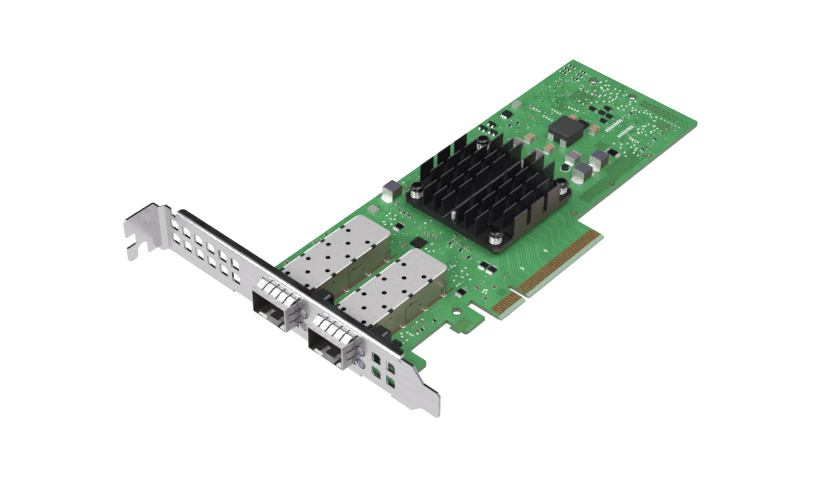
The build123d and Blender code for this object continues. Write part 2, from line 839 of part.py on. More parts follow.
# Heat sink: base, channel, corner pockets and cross-cut fins
half_sink = sink_size / 2
fin_length = (sink_size - (fin_columns - 1) * fin_slot) / fin_columns
fin_column_pitch = fin_length + fin_slot
fin_row_pitch = (half_sink - fin_thickness / 2 - fin_row_offset) / (fin_rows_each_side - 1)
fin_offsets = [fin_inner_offset]
fin_offsets += [fin_row_offset + row * fin_row_pitch for row in range(fin_rows_each_side)]
pocket_length = fin_column_pitch - pocket_column_gap
pocket_width = half_sink - fin_offsets[-pocket_rows - 1] - pocket_row_gap
with BuildPart() as heatsink:
    with BuildSketch(Plane.XY.offset(sink_base_low)):
        with Locations(sink_centre):
            Rectangle(sink_size, sink_size)
        chamfer(vertices(), length=sink_corner_cut)
    extrude(amount=sink_base_high - sink_base_low)
    with BuildSketch(Plane.XY.offset(sink_base_high)):
        with Locations(sink_centre):
            Rectangle(sink_size, 2 * channel_half_width)
    extrude(amount=-channel_depth, mode=Mode.SUBTRACT)
    with BuildSketch(Plane.XY.offset(sink_base_high)):
        for side_x in (-1, 1):
            for side_y in (-1, 1):
                pocket_centre_x = sink_x + side_x * (half_sink - pocket_length / 2)
                pocket_centre_y = sink_y + side_y * (half_sink - pocket_width / 2)
                with Locations((pocket_centre_x, pocket_centre_y)):
                    Rectangle(pocket_length, pocket_width)
    extrude(amount=-pocket_depth, mode=Mode.SUBTRACT)
    fin_places = []
    for column in range(fin_columns):
        steps = column - (fin_columns - 1) / 2
        for row, offset in enumerate(fin_offsets):
            in_pocket = abs(steps) == (fin_columns - 1) / 2 and row >= len(fin_offsets) - pocket_rows
            if not in_pocket:
                fin_x = sink_x + steps * fin_column_pitch
                fin_places += [(fin_x, sink_y + offset), (fin_x, sink_y - offset)]
    with BuildSketch(Plane.XY.offset(sink_base_high)):
        with Locations(*fin_places):
            Rectangle(fin_length, fin_thickness)
    extrude(amount=fin_height)
    with BuildSketch(Plane.XY.offset(sink_base_low)):
        with Locations(*pin_places):
            RegularPolygon(pin_hole_diameter / 2, some_flats)
    extrude(amount=sink_base_high - sink_base_low, mode=Mode.SUBTRACT)
finish(heatsink.part, "heatsink")

with BuildPart() as earthing_posts:
    with BuildSketch(Plane.XY.offset(sink_base_high - channel_depth)):
        with Locations(*post_places):
            RegularPolygon(post_diameter / 2, some_flats)
    extrude(amount=post_height)
finish(earthing_posts.part, "earthing_posts")

# Push pins and springs, one at each corner pocket
pocket_floor = sink_base_high - pocket_depth
head_low = pin_head_top - pin_head_height
barb_high = board_underside - pin_barb_gap
spring_low = pocket_floor + spring_wire / 2 + spring_clearance
spring_rise = head_low - spring_wire / 2 - spring_clearance - spring_low
spring_radius = (spring_diameter - spring_wire) / 2
for number, (pin_x, pin_y) in enumerate(pin_places, 1):
    with BuildPart() as push_pin:
        with BuildSketch(Plane.XY.offset(barb_high)):
            with Locations((pin_x, pin_y)):
                RegularPolygon(pin_barb_diameter / 2, some_flats)
        extrude(amount=pin_tip_z - barb_high)
        barb_flats = push_pin.faces().filter_by(Axis.Z, reverse=True)
        draft(barb_flats, neutral_plane=Plane.XY.offset(barb_high), angle=-pin_barb_taper)
        with BuildSketch(Plane.XY.offset(barb_high)):
            with Locations((pin_x, pin_y)):
                RegularPolygon(pin_shaft_diameter / 2, few_flats)
        extrude(amount=head_low - barb_high)
        with BuildSketch(Plane.XY.offset(head_low)):
            with Locations((pin_x, pin_y)):
                RegularPolygon(pin_head_diameter / 2, round_flats)
        extrude(amount=pin_head_height)
    finish(push_pin.part, f"push_pin_{number}")

    # Coil of straight chords round the shaft
    coil = []
    for step in range(spring_turns * few_flats + 1):
        angle = 2 * pi * step / few_flats
        rise = spring_rise * step / (spring_turns * few_flats)
        coil.append((pin_x + spring_radius * cos(angle), pin_y + spring_radius * sin(angle), spring_low + rise))
    with BuildPart() as spring:
        with BuildLine() as coil_line:
            Polyline(*coil)
        with BuildSketch(Plane(origin=coil[0], z_dir=coil_line.line % 0)):
            RegularPolygon(spring_wire / 2, 4)
        sweep(transition=Transition.RIGHT)
    finish(spring.part, f"push_pin_spring_{number}")

# Controller package and the pad between it and the heat sink
with BuildPart() as controller_substrate:
    with BuildSketch(Plane.XY.offset(controller_low)):
        with Locations(sink_centre):
            Rectangle(controller_size, controller_size)
    extrude(amount=controller_substrate_height)
finish(controller_substrate.part, "controller_substrate")

with BuildPart() as controller_lid:
    with BuildSketch(Plane.XY.offset(controller_low + controller_substrate_height)):
        with Locations(sink_centre):
            Rectangle(controller_lid_size, controller_lid_size)
        chamfer(vertices(), length=1.0)
    extrude(amount=controller_lid_high - controller_low - controller_substrate_height)
finish(controller_lid.part, "controller_lid")

with BuildPart() as thermal_pad:
    with BuildSketch(Plane.XY.offset(controller_lid_high)):
        with Locations(sink_centre):
            Rectangle(controller_lid_size - 1.0, controller_lid_size - 1.0)
    extrude(amount=sink_base_low - controller_lid_high)
finish(thermal_pad.part, "thermal_pad")

# Power inductor and its terminals, at the side that faces the bracket
inductor_x, inductor_y = inductor_centre
inductor_left = inductor_x - inductor_size[0] / 2
terminal_places = [inductor_y - inductor_terminal_spacing / 2, inductor_y + inductor_terminal_spacing / 2]
with BuildPart() as power_inductor_core:
    with BuildSketch(Plane.XY.offset(inductor_terminal_sheet)):
        with Locations(inductor_centre):
            Rectangle(*inductor_size)
    extrude(amount=inductor_height)
    chamfer(edges().filter_by(Axis.Z), length=0.7)
    chamfer(edges().group_by(Axis.Z)[-1], length=0.3)
finish(power_inductor_core.part, "power_inductor_core")

with BuildPart() as power_inductor_terminals:
    for terminal_y in terminal_places:
        with BuildSketch(across(terminal_y + inductor_terminal_width / 2)):
            with BuildLine():
                Polyline(
                    (inductor_left - inductor_terminal_sheet, 0),
                    (inductor_left - inductor_terminal_sheet, inductor_clip_height),
                    (inductor_left, inductor_clip_height),
                    (inductor_left, inductor_terminal_sheet),
                    (inductor_left + inductor_foot_length, inductor_terminal_sheet),
                    (inductor_left + inductor_foot_length, 0),
                    close=True,
                )
            make_face()
        extrude(amount=inductor_terminal_width)
finish(power_inductor_terminals.part, "power_inductor_terminals")

with BuildPart() as power_stage:
    with BuildSketch(Plane.XY):
        with Locations(power_stage_centre):
            Rectangle(*power_stage_size)
    extrude(amount=power_stage_height)
finish(power_stage.part, "power_stage")

# Tall capacitors between sheet frames that stand them off the board
bulk_length, bulk_width = bulk_size
with BuildPart() as bulk_capacitor_bodies:
    with BuildSketch(Plane.XY.offset(bulk_low)):
        with Locations(*bulk_places):
            Rectangle(bulk_length - 2 * bulk_frame, bulk_width)
    extrude(amount=bulk_high - bulk_low)
    chamfer(edges().group_by(Axis.Z)[-1], length=0.15)
finish(bulk_capacitor_bodies.part, "bulk_capacitor_bodies")

with BuildPart() as bulk_capacitor_frames:
    for place_x, place_y in bulk_places:
        for side in (-1, 1):
            outer_x = place_x + side * bulk_length / 2
            inner_x = outer_x - side * bulk_frame
            toe_x = outer_x + side * bulk_foot
            with BuildSketch(across(place_y + bulk_width / 2)):
                with BuildLine():
                    Polyline(
                        (inner_x, bulk_high - 0.3),
                        (outer_x, bulk_high - 0.3),
                        (outer_x, bulk_frame),
                        (toe_x, bulk_frame),
                        (toe_x, 0),
                        (inner_x, 0),
                        close=True,
                    )
                make_face()
            extrude(amount=bulk_width)
finish(bulk_capacitor_frames.part, "bulk_capacitor_frames")


def chip(name, places, size, height, end, low=0.0):
    """Write the bodies and the metal ends of chips of one size as two groups of solids."""
    length, width = size
    with BuildPart() as bodies:
        with BuildSketch(Plane.XY.offset(low)):
            for place_x, place_y, turn in places:
                with Locations(Location((place_x, place_y, 0), (0, 0, turn))):
                    Rectangle(length - 2 * end, width)
        extrude(amount=height)
    finish(bodies.part, f"{name}_bodies")
    with BuildPart() as ends:
        with BuildSketch(Plane.XY.offset(low)):
            for place_x, place_y, turn in places:
                with Locations(Location((place_x, place_y, 0), (0, 0, turn))):
                    with Locations((-(length - end) / 2, 0), ((length - end) / 2, 0)):
                        Rectangle(end, width)
        extrude(amount=height)
    finish(ends.part, f"{name}_ends")


chip("block_capacitor", [(x, y, 0) for x, y in block_places], block_size, block_height, block_end)
chip("ceramic_capacitor", [(x, y, 0) for x, y in ceramic_places], ceramic_size, ceramic_height, ceramic_end)
chip("sense_resistor", sense_places, sense_size, sense_height, sense_end)
chip("shunt_resistor", shunt_places, shunt_size, sense_height, sense_end)
chip("chip_capacitor", chip_capacitor_places, small_size, small_height, small_end)
chip("chip_resistor", chip_resistor_places, small_size, small_height, small_end)

# Chips without leads
with BuildPart() as clock_chip:
    with BuildSketch(Plane.XY):
        with Locations(clock_chip_centre):
            Rectangle(clock_chip_size, clock_chip_size)
    extrude(amount=clock_chip_height)
finish(clock_chip.part, "clock_chip")

with BuildPart() as oscillator:
    with BuildSketch(Plane.XY):
        with Locations(oscillator_centre):
            Rectangle(*oscillator_size)
    extrude(amount=oscillator_height)
finish(oscillator.part, "oscillator")

with BuildPart() as crystal_can:
    with BuildSketch(Plane.XY):
        with Locations(crystal_centre):
            Rectangle(*crystal_size)
        chamfer(vertices(), length=0.5)
    extrude(amount=crystal_height)
finish(crystal_can.part, "crystal_can")

with BuildPart() as choke:
    with BuildSketch(Plane.XY):
        with Locations(choke_centre):
            RegularPolygon(choke_diameter / 2, round_flats)
    extrude(amount=choke_height)
finish(choke.part, "choke")

with BuildPart() as diodes:
    with BuildSketch(Plane.XY):
        with Locations(*diode_places):
            Rectangle(*diode_body)
    extrude(amount=diode_body_height)
finish(diodes.part, "diodes")

# Leaded chips: bodies in one node, gull-wing leads in another
with BuildPart() as small_outline_bodies:
    with BuildSketch(Plane.XY.offset(body_stand)):
        for place_x, place_y, body, *_ in leaded_chips:
            with Locations((place_x, place_y)):
                Rectangle(*body)
    extrude(amount=body_height - body_stand)
finish(small_outline_bodies.part, "small_outline_bodies")

leads = []
for place_x, place_y, body, lead_width, *rows in leaded_chips:
    for side, steps in zip((-1, 1), rows):
        leads += [(place_x + side * body[0] / 2, side, place_y + step, lead_width) for step in steps]

with BuildPart() as small_outline_leads:
    for body_x, side, lead_y, lead_width in leads:
        knee_x = body_x + side * 0.3
        toe_x = body_x + side * lead_reach
        knee_z = body_height / 2
        with BuildSketch(across(lead_y + lead_width / 2)):
            with BuildLine():
                Polyline(
                    (body_x, knee_z),
                    (body_x, knee_z + lead_sheet),
                    (knee_x + side * 0.15, lead_sheet),
                    (toe_x, lead_sheet),
                    (toe_x, 0),
                    (knee_x, 0),
                    close=True,
                )
            make_face()
        extrude(amount=lead_width)
finish(small_outline_leads.part, "small_outline_leads")
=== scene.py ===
"""Network interface card: finishes, fine board detail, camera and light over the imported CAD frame."""

import bpy
import numpy as np
from mathutils import Matrix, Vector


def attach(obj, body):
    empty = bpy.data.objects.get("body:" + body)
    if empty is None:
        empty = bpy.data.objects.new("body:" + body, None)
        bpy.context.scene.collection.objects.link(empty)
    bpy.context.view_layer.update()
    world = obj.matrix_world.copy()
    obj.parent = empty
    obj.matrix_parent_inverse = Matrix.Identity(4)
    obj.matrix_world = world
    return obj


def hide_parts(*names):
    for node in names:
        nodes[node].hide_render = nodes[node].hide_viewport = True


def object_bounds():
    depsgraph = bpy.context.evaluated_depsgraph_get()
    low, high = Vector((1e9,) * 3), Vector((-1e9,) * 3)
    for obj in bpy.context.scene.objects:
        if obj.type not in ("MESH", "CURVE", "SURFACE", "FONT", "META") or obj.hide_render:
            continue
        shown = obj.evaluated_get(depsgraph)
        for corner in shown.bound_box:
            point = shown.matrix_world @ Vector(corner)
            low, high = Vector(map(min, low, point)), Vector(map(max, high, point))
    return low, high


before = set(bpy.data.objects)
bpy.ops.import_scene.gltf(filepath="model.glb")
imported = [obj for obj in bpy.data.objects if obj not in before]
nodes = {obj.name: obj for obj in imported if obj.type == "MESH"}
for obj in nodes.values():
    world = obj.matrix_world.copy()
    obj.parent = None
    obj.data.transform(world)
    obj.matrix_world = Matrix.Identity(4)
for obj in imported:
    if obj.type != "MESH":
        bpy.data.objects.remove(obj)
cad_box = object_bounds()
MM = 0.001
X, Y, Z = range(3)


# Places and sizes taken from the CAD nodes, in mm

def box(name):
    """Lowest and highest corner of a CAD node."""
    corners = np.array(nodes[name].bound_box) / MM
    return corners.min(0).round(3), corners.max(0).round(3)


def middle(name):
    """Centre of a CAD node's box."""
    low, high = box(name)
    return (low + high) / 2


underside = box("pcb")[0][Z]
contact_low, contact_high = box("edge_contacts_front")
sink_low, sink_high = box("heatsink")
sink_middle = middle("heatsink")
pin_places = [middle(f"push_pin_{number}")[:2] for number in range(1, 5)]
cage_low, cage_high = box("sfp_cage_1")
cage_top = cage_high[Z]
cage_half = (cage_high[Y] - cage_low[Y]) / 2
ports = [middle(f"sfp_cage_{number}")[Y] for number in (1, 2)]
choke_place = middle("choke")[:2]

# What the boxes don't give, as in the CAD model, in mm: heights of the heat sink's base and of the pins'
# pockets in it, floor of the cages, pitch of their notches and of the contacts, and centres of the holes
# in the board and of the larger parts on it
base_top = 5.2
pocket_floor = 4.3
cage_floor = 1.15
notch_pitch = 8.98
contact_pitch = 1.0
contacts_before_key, contacts_after_key = 11, 38
leg_columns = (-45.6, -35.6, -25.5, -16.9)
tooling_holes = [(104.8, 54.4), (106.5, 38.2), (-19.6, 12.2)]
plated_holes = [(83.1, 14.0), (62.3, 14.0), (41.6, 14.2)]
bulk_places = [(8.0, 64.4), (58.4, 23.7), (67.6, 23.6)]
block_places = [(63.3, 31.4), (55.8, 50.2), (55.6, 41.5)]
ceramic_places = [(62.1, 49.5), (61.9, 40.8), (80.3, 45.2), (80.9, 35.9)]
sense_places = [(-2.4, 51.9), (2.0, 19.4), (2.1, 16.2), (-12.4, 16.6)]
shunt_places = [(75.7, 23.8)]
diode_places = [(90.7, 44.1), (91.1, 40.2), (94.4, 40.2), (87.7, 37.0), (91.2, 37.0)]


# Colour, nodes and finishes

def tone(code):
    """Linear colour of an sRGB hex code."""
    srgb = np.array([int(code[i:i + 2], 16) for i in (0, 2, 4)]) / 255
    linear = np.where(srgb <= 0.04045, srgb / 12.92, ((srgb + 0.055) / 1.055) ** 2.4)
    return (*linear.tolist(), 1.0)


def add(tree, kind, inputs=None, **settings):
    """Add a node with its settings; each input is a value, or a socket that gets linked to it."""
    made = tree.nodes.new(kind)
    for name, value in settings.items():
        setattr(made, name, value)
    for name, value in (inputs or {}).items():
        if isinstance(value, bpy.types.NodeSocket):
            tree.links.new(value, made.inputs[name])
        else:
            made.inputs[name].default_value = value
    return made


def surface(name, base, metallic, roughness, **fixed):
    """Start a finish: one shader with fixed values. Gives the material, its tree and the shader."""
    made = bpy.data.materials.new(name)
    made.use_nodes = True
    tree = made.node_tree
    tree.nodes.clear()
    inputs = {"Base Color": tone(base), "Metallic": metallic, "Roughness": roughness}
    shader = add(tree, "ShaderNodeBsdfPrincipled", {**inputs, **fixed})
    add(tree, "ShaderNodeOutputMaterial", {"Surface": shader.outputs[0]})
    return made, tree, shader


def grain(tree, shader, low, high, size, depth, rough, stretch=(1, 1, 1), detail=3.0):
    """Noise of size mm mixes two tones, moves the roughness between two values and lifts depth mm.

    Gives the mixed colour and the object's own coordinate.
    """
    place = add(tree, "ShaderNodeTexCoord").outputs["Object"]
    scaled = add(tree, "ShaderNodeMapping", {"Vector": place, "Scale": stretch}).outputs[0]
    noise = add(tree, "ShaderNodeTexNoise", {"Vector": scaled, "Scale": 1 / (size * MM), "Detail": detail})
    share = add(tree, "ShaderNodeMapRange", {"Value": noise.outputs[0], "From Min": 0.3, "From Max": 0.7})
    mixed = add(tree, "ShaderNodeMix", {0: share.outputs[0], 6: tone(low), 7: tone(high)}, data_type="RGBA")
    spread = {"Value": share.outputs[0], "To Min": rough[0], "To Max": rough[1]}
    lift = add(tree, "ShaderNodeBump", {"Height": noise.outputs[0], "Distance": depth * MM})
    tree.links.new(mixed.outputs[2], shader.inputs["Base Color"])
    tree.links.new(add(tree, "ShaderNodeMapRange", spread).outputs[0], shader.inputs["Roughness"])
    tree.links.new(lift.outputs[0], shader.inputs["Normal"])
    return mixed.outputs[2], place


def plain(name, low, high, size, depth, rough, metallic=0.0, stretch=(1, 1, 1), **fixed):
    """A finish with one grain and nothing else: two tones, the grain's size and depth in mm, and the
    roughness of each tone."""
    made, tree, shader = surface(name, low, metallic, rough[0], **fixed)
    grain(tree, shader, low, high, size, depth, rough, stretch)
    return made


def outward(tree, axis):
    """How far the surface faces along an axis, from -1 to 1."""
    normal = add(tree, "ShaderNodeNewGeometry").outputs["Normal"]
    return add(tree, "ShaderNodeSeparateXYZ", {0: normal}).outputs[axis]


def cover(tree, shader, under, over, *masks):
    """Lay one colour over another where every mask is 1, and give the result to the shader."""
    share = masks[0]
    for mask in masks[1:]:
        share = add(tree, "ShaderNodeMath", {0: share, 1: mask}, operation="MULTIPLY").outputs[0]
    laid = add(tree, "ShaderNodeMix", {0: share, 6: under, 7: over}, data_type="RGBA").outputs[2]
    tree.links.new(laid, shader.inputs["Base Color"])
    return laid


def dress(finish, *names):
    """Give CAD nodes a finish through their material slots."""
    for name in names:
        for place in nodes[name].material_slots:
            place.material = finish
        if not nodes[name].material_slots:
            nodes[name].data.materials.append(finish)


# Liquid green solder mask, cured over copper and glass-fibre laminate: glossy, a little wavy over the
# copper, with a pale sanded bevel and sawn edges. Square fields of it have thin dark gaps between tracks,
# in four directions, drawn wider than the real 0.1 mm so that they show
field, lane = 7.0, 0.7
half_gap, gap_strength, plain_fields = 0.16, 0.55, 0.42
bevel_top, bevel_slant = 1.35, 0.985
solder_mask, tree, shader = surface("solder_mask_on_laminate", "43905A", 0.0, 0.34, **{"Coat Weight": 0.12})
mask, place = grain(tree, shader, "478B54", "50985F", 0.9, 0.002, (0.3, 0.42), detail=4.0)
layout = add(tree, "ShaderNodeTexVoronoi", {"Vector": place, "Scale": 1 / (field * MM)}, distance="CHEBYCHEV")
chance = add(tree, "ShaderNodeSeparateXYZ", {0: layout.outputs["Color"]})
way = add(tree, "ShaderNodeMath", {0: chance.outputs[0], 1: np.pi}, operation="MULTIPLY").outputs[0]
way = add(tree, "ShaderNodeMath", {0: way, 1: np.pi / 4}, operation="SNAP").outputs[0]
gaps = add(tree, "ShaderNodeVectorRotate", {"Vector": place, "Angle": way}, rotation_type="Z_AXIS").outputs[0]
gaps = add(tree, "ShaderNodeMapping", {"Vector": gaps, "Scale": (1 / (lane * MM), 1, 1)}).outputs[0]
gaps = add(tree, "ShaderNodeSeparateXYZ", {0: gaps}).outputs[X]
gaps = add(tree, "ShaderNodeMath", {0: gaps, 1: 0.5}, operation="PINGPONG").outputs[0]
gaps = add(tree, "ShaderNodeMath", {0: gaps, 1: half_gap}, operation="LESS_THAN").outputs[0]
gaps = add(tree, "ShaderNodeMath", {0: gaps, 1: gap_strength}, operation="MULTIPLY").outputs[0]
routed = add(tree, "ShaderNodeMath", {0: chance.outputs[1], 1: plain_fields}, operation="GREATER_THAN")
flat = add(tree, "ShaderNodeMath", {0: outward(tree, Z)}, operation="ABSOLUTE").outputs[0]
sawn = add(tree, "ShaderNodeMath", {0: flat, 1: 0.5}, operation="LESS_THAN").outputs[0]
tilted = add(tree, "ShaderNodeMath", {0: flat, 1: bevel_slant}, operation="LESS_THAN").outputs[0]
along = add(tree, "ShaderNodeSeparateXYZ", {0: place}).outputs[Y]
at_slot = add(tree, "ShaderNodeMath", {0: along, 1: bevel_top * MM}, operation="LESS_THAN").outputs[0]
mask = cover(tree, shader, mask, tone("2C6438"), gaps, routed.outputs[0])
mask = cover(tree, shader, mask, tone("5A774E"), sawn)
cover(tree, shader, mask, tone("86A08A"), tilted, at_slot)

# The same mask where the copper under it is etched away: deeper and duller
bare_mask = plain("solder_mask_on_bare_laminate", "3B7144", "477B49", 1.6, 0.002, (0.3, 0.4))

# The same mask over inner copper patches that show brownish through it
brown_mask = plain("solder_mask_on_inner_copper", "48764A", "527F50", 1.5, 0.002, (0.3, 0.4))

# Small plugged vias: dark dots in the mask
plugged_via = plain("plugged_via", "23452A", "2C5232", 0.3, 0.002, (0.4, 0.5))

# Etched gaps beside the tracks, seen as thin dark lines under the mask
etched_gap = plain("etched_gap_under_mask", "2F6B3F", "397A49", 0.8, 0.001, (0.3, 0.4))

# Hard gold over nickel, plated and wiped by insertion: fine streaks along each contact
gold = plain("hard_gold_plate", "C39A5E", "DAB87C", 0.5, 0.002, (0.3, 0.45), 0.8, (2, 0.3, 1))

# Cold-rolled steel, stamped and nickel plated: satin, with rolling grain along the strip, and painted shade
# on the sheared walls in the vents and round the face, coloured near black
face_middle, face_half = -57.5, 0.56
bracket_nickel, tree, shader = surface("satin_nickel_on_stamped_steel", "D6D3D7", 1.0, 0.24)
sheet, place = grain(tree, shader, "D6D3D7", "DEDBDF", 0.9, 0.0006, (0.2, 0.28), (1, 0.1, 1))
facing = add(tree, "ShaderNodeMath", {0: outward(tree, X)}, operation="ABSOLUTE").outputs[0]
cut = add(tree, "ShaderNodeMath", {0: facing, 1: 0.05}, operation="LESS_THAN").outputs[0]
depth = add(tree, "ShaderNodeSeparateXYZ", {0: place}).outputs[X]
within = {0: depth, 1: face_middle * MM, 2: face_half * MM}
within = add(tree, "ShaderNodeMath", within, operation="COMPARE").outputs[0]
# Painted shade: the cut walls within the face sheet are coloured near black
cover(tree, shader, sheet, tone("3B3A3D"), cut, within)

# Zinc-plated screws and clinch nuts, turned and tumbled: bright with small dents
zinc = plain("tumbled_zinc_plate", "A9A8A4", "C4C3BE", 0.4, 0.004, (0.28, 0.4), 1.0)

# Copper alloy sheet, tin plated: matt and pale on the top, where the strip was rolled, and more like a
# mirror on the folded sides, inside, and under the collar's fingers. Those get a darker painted colour: a
# brownish painted reflection of the board on the outer walls, and painted shade inside the cages and on the
# roof under the fingers
roof_margin, collar_shade_end, wall_margin = 0.04, -57.0, 0.125
cage_tin, tree, shader = surface("matt_tin_on_copper_sheet", "CBC9C9", 0.6, 0.5)
sheet, place = grain(tree, shader, "CBC9C9", "D3D1D1", 1.2, 0.001, (0.5, 0.58))
spot = add(tree, "ShaderNodeSeparateXYZ", {0: place})
level = {0: outward(tree, Z), 1: 0.5}
level = add(tree, "ShaderNodeMath", level, operation="GREATER_THAN").outputs[0]
roof = {0: spot.outputs[Z], 1: (cage_top - roof_margin) * MM}
roof = add(tree, "ShaderNodeMath", roof, operation="GREATER_THAN").outputs[0]
# The roof under the collar's fingers is kept out of the pale top and gets painted shade
behind = {0: spot.outputs[X], 1: collar_shade_end * MM}
behind = add(tree, "ShaderNodeMath", behind, operation="GREATER_THAN").outputs[0]
pale = add(tree, "ShaderNodeMath", {0: level, 1: roof}, operation="MULTIPLY").outputs[0]
pale = add(tree, "ShaderNodeMath", {0: pale, 1: behind}, operation="MULTIPLY").outputs[0]
across = {0: spot.outputs[Y], 1: -sum(ports) / 2 * MM}
across = add(tree, "ShaderNodeMath", across, operation="ADD").outputs[0]
across = add(tree, "ShaderNodeMath", {0: across}, operation="ABSOLUTE").outputs[0]
inside = {0: across, 1: (ports[0] - ports[1]) / 2 * MM, 2: (cage_half - wall_margin) * MM}
inside = add(tree, "ShaderNodeMath", inside, operation="COMPARE").outputs[0]
# Walls: a brownish painted reflection of the board outside, and painted shade inside the cages
wall = cover(tree, shader, tone("A8978A"), tone("625E5B"), inside)
cover(tree, shader, wall, sheet, pale)
for socket, folded, rolled in (("Metallic", 0.7, 0.6), ("Roughness", 0.28, 0.54)):
    spread = {"Value": pale, "To Min": folded, "To Max": rolled}
    tree.links.new(add(tree, "ShaderNodeMapRange", spread).outputs[0], shader.inputs[socket])

# Spring sheet with bright plating, nearly a mirror on each bent finger, and painted shade on the side faces
spring_plate, tree, shader = surface("bright_plated_spring_sheet", "E0DFE0", 0.65, 0.4)
sheet, _ = grain(tree, shader, "E0DFE0", "EEEDEE", 1.4, 0.001, (0.34, 0.44))
facing = add(tree, "ShaderNodeMath", {0: outward(tree, Y)}, operation="ABSOLUTE").outputs[0]
beside = add(tree, "ShaderNodeMath", {0: facing, 1: 0.5}, operation="GREATER_THAN").outputs[0]
cover(tree, shader, sheet, tone("A19FA1"), beside)

# Black thermoplastic, injection moulded with a fine spark texture
black_moulding = plain("moulded_black_thermoplastic", "151516", "1F1F21", 0.12, 0.004, (0.42, 0.55))

# Painted highlight: near-white, for the cages' tin on a bent edge where it catches every lamp, and also for
# the plated holes' walls and the cage floor's tabs
painted_highlight = plain("painted_highlight_white", "F6F6F6", "FCFCFC", 0.4, 0.001, (0.4, 0.5))

# Clear polycarbonate light pipe, polished mould: it looks pale blue in the hole
clear = {"Transmission Weight": 0.5, "IOR": 1.585}
pipe_clear = plain("clear_polycarbonate", "A6A9B8", "BCBFCC", 1.0, 0.001, (0.05, 0.12), **clear)

# White diode body under clear resin
diode_resin = plain("white_diode_resin", "D8D5C8", "E9E6DA", 0.3, 0.001, (0.2, 0.3))

# Aluminium extrusion, cross-cut and black anodised: near black, with a painted highlight on the top edge of
# each fin, and a warm grey painted reflection on the faces toward -Y along the front
highlight_depth, sheen_depth = 0.03, 3.5
anodised, tree, shader = surface("black_anodised_extrusion", "17161A", 0.35, 0.42)
skin, place = grain(tree, shader, "1A191C", "27262A", 0.5, 0.002, (0.36, 0.5), (3, 3, 0.2))
spot = add(tree, "ShaderNodeSeparateXYZ", {0: place})
fin_top_highlight = {0: spot.outputs[Z], 1: (sink_high[Z] - highlight_depth) * MM}
fin_top_highlight = add(tree, "ShaderNodeMath", fin_top_highlight, operation="GREATER_THAN").outputs[0]
front = {0: spot.outputs[Y], 1: (sink_low[Y] + sheen_depth) * MM}
front = add(tree, "ShaderNodeMath", front, operation="LESS_THAN").outputs[0]
facing = add(tree, "ShaderNodeMath", {0: outward(tree, Y), 1: -0.5}, operation="LESS_THAN").outputs[0]
skin = cover(tree, shader, skin, tone("56555A"), fin_top_highlight)
cover(tree, shader, skin, tone("5E4C48"), front, facing)

# Painted highlight on the anodised metal along a milled edge
edge_highlight_anodising = plain("painted_edge_highlight_on_anodising", "5F6672", "727A87", 0.4, 0.001, (0.35, 0.45), 0.4)

# Bright spring wire, drawn: polished along the coil
spring_wire = plain("drawn_spring_wire", "DCDCD8", "F0F0EC", 0.3, 0.001, (0.2, 0.3), 0.75)

# Black nylon push pin heads, polished mould: glossy enough to show the lamps on the rim
glossy = {"Coat Weight": 0.4}
pin_nylon = plain("polished_black_nylon", "0C0C0D", "131314", 0.8, 0.001, (0.14, 0.22), **glossy)

# Plain steel posts, turned
post_steel = plain("turned_steel", "D4D2CE", "E8E6E2", 0.2, 0.002, (0.3, 0.4), 0.4, (1, 1, 6))

# Soft grey pad, nickel-plated lid and package laminate, all under the heat sink
pad_grey = plain("filled_silicone_pad", "8A8A90", "96969C", 0.2, 0.004, (0.7, 0.8))
lid_nickel = plain("nickel_plated_lid", "A6A6A6", "B8B8B8", 0.4, 0.001, (0.3, 0.4), 1.0)
package_green = plain("package_laminate", "1E4A2E", "265636", 0.4, 0.002, (0.4, 0.5))

# Iron powder pressed in resin: dark grey grit that shows at its chamfers
pressed_powder = plain("pressed_iron_powder", "29282B", "38373A", 0.22, 0.01, (0.5, 0.7))

# Transfer-moulded epoxy of the chips: even matt black
epoxy = plain("moulded_epoxy", "141416", "1E1E21", 0.1, 0.003, (0.42, 0.52))

# Ferrite, pressed and sintered: black with a fine ceramic grit
ferrite = plain("sintered_ferrite", "141417", "1E1E22", 0.25, 0.004, (0.35, 0.5))

# Matt tin with reflowed solder on it: bright, softly rounded
tin = plain("reflowed_tin", "D2D1CF", "E8E7E5", 0.4, 0.004, (0.24, 0.36), 0.6)

# Bare pads, tin levelled by hot air: painted whiter and less metallic than the tin, a painted highlight for
# the lamps they lie flat under
pad_tin = plain("levelled_tin_pad", "ECEEE8", "F8F9F5", 0.6, 0.002, (0.3, 0.42), 0.1)

# Tall stacked capacitors: slate grey on top, with browner sides where the layers show
slate_ceramic, tree, shader = surface("slate_capacitor_body", "4C4B57", 0.0, 0.4)
stack, _ = grain(tree, shader, "474653", "585764", 0.5, 0.004, (0.34, 0.46), (1, 1, 5))
side = add(tree, "ShaderNodeMath", {0: outward(tree, Z), 1: 0.5}, operation="LESS_THAN").outputs[0]
cover(tree, shader, stack, tone("5A4D45"), side)

# Fired ceramic of the other capacitors: even grey-brown or tan, slightly rough
grey_ceramic = plain("grey_capacitor_body", "6B6466", "7C7577", 0.4, 0.004, (0.4, 0.5))
tan_ceramic = plain("tan_capacitor_body", "967656", "AB8D6C", 0.4, 0.004, (0.4, 0.52))
small_ceramic = plain("small_capacitor_body", "6F5C50", "867164", 0.4, 0.003, (0.4, 0.52))

# Black glaze over the resistor's ceramic, printed on and fired: glossy
glaze = plain("fired_black_glaze", "0F0F12", "19191E", 0.5, 0.002, (0.2, 0.3))

# Nickel-plated cans, drawn from sheet: pale and satin
can_nickel = plain("pressed_nickel_can", "CBC9C4", "DCDAD6", 0.7, 0.002, (0.28, 0.38), 0.6)

# Copper ring round a hole, tinned thinly: greyish, with the copper showing through
copper_ring = plain("tinned_copper_ring", "A39A92", "BDB4AA", 0.3, 0.002, (0.3, 0.42), 0.5)

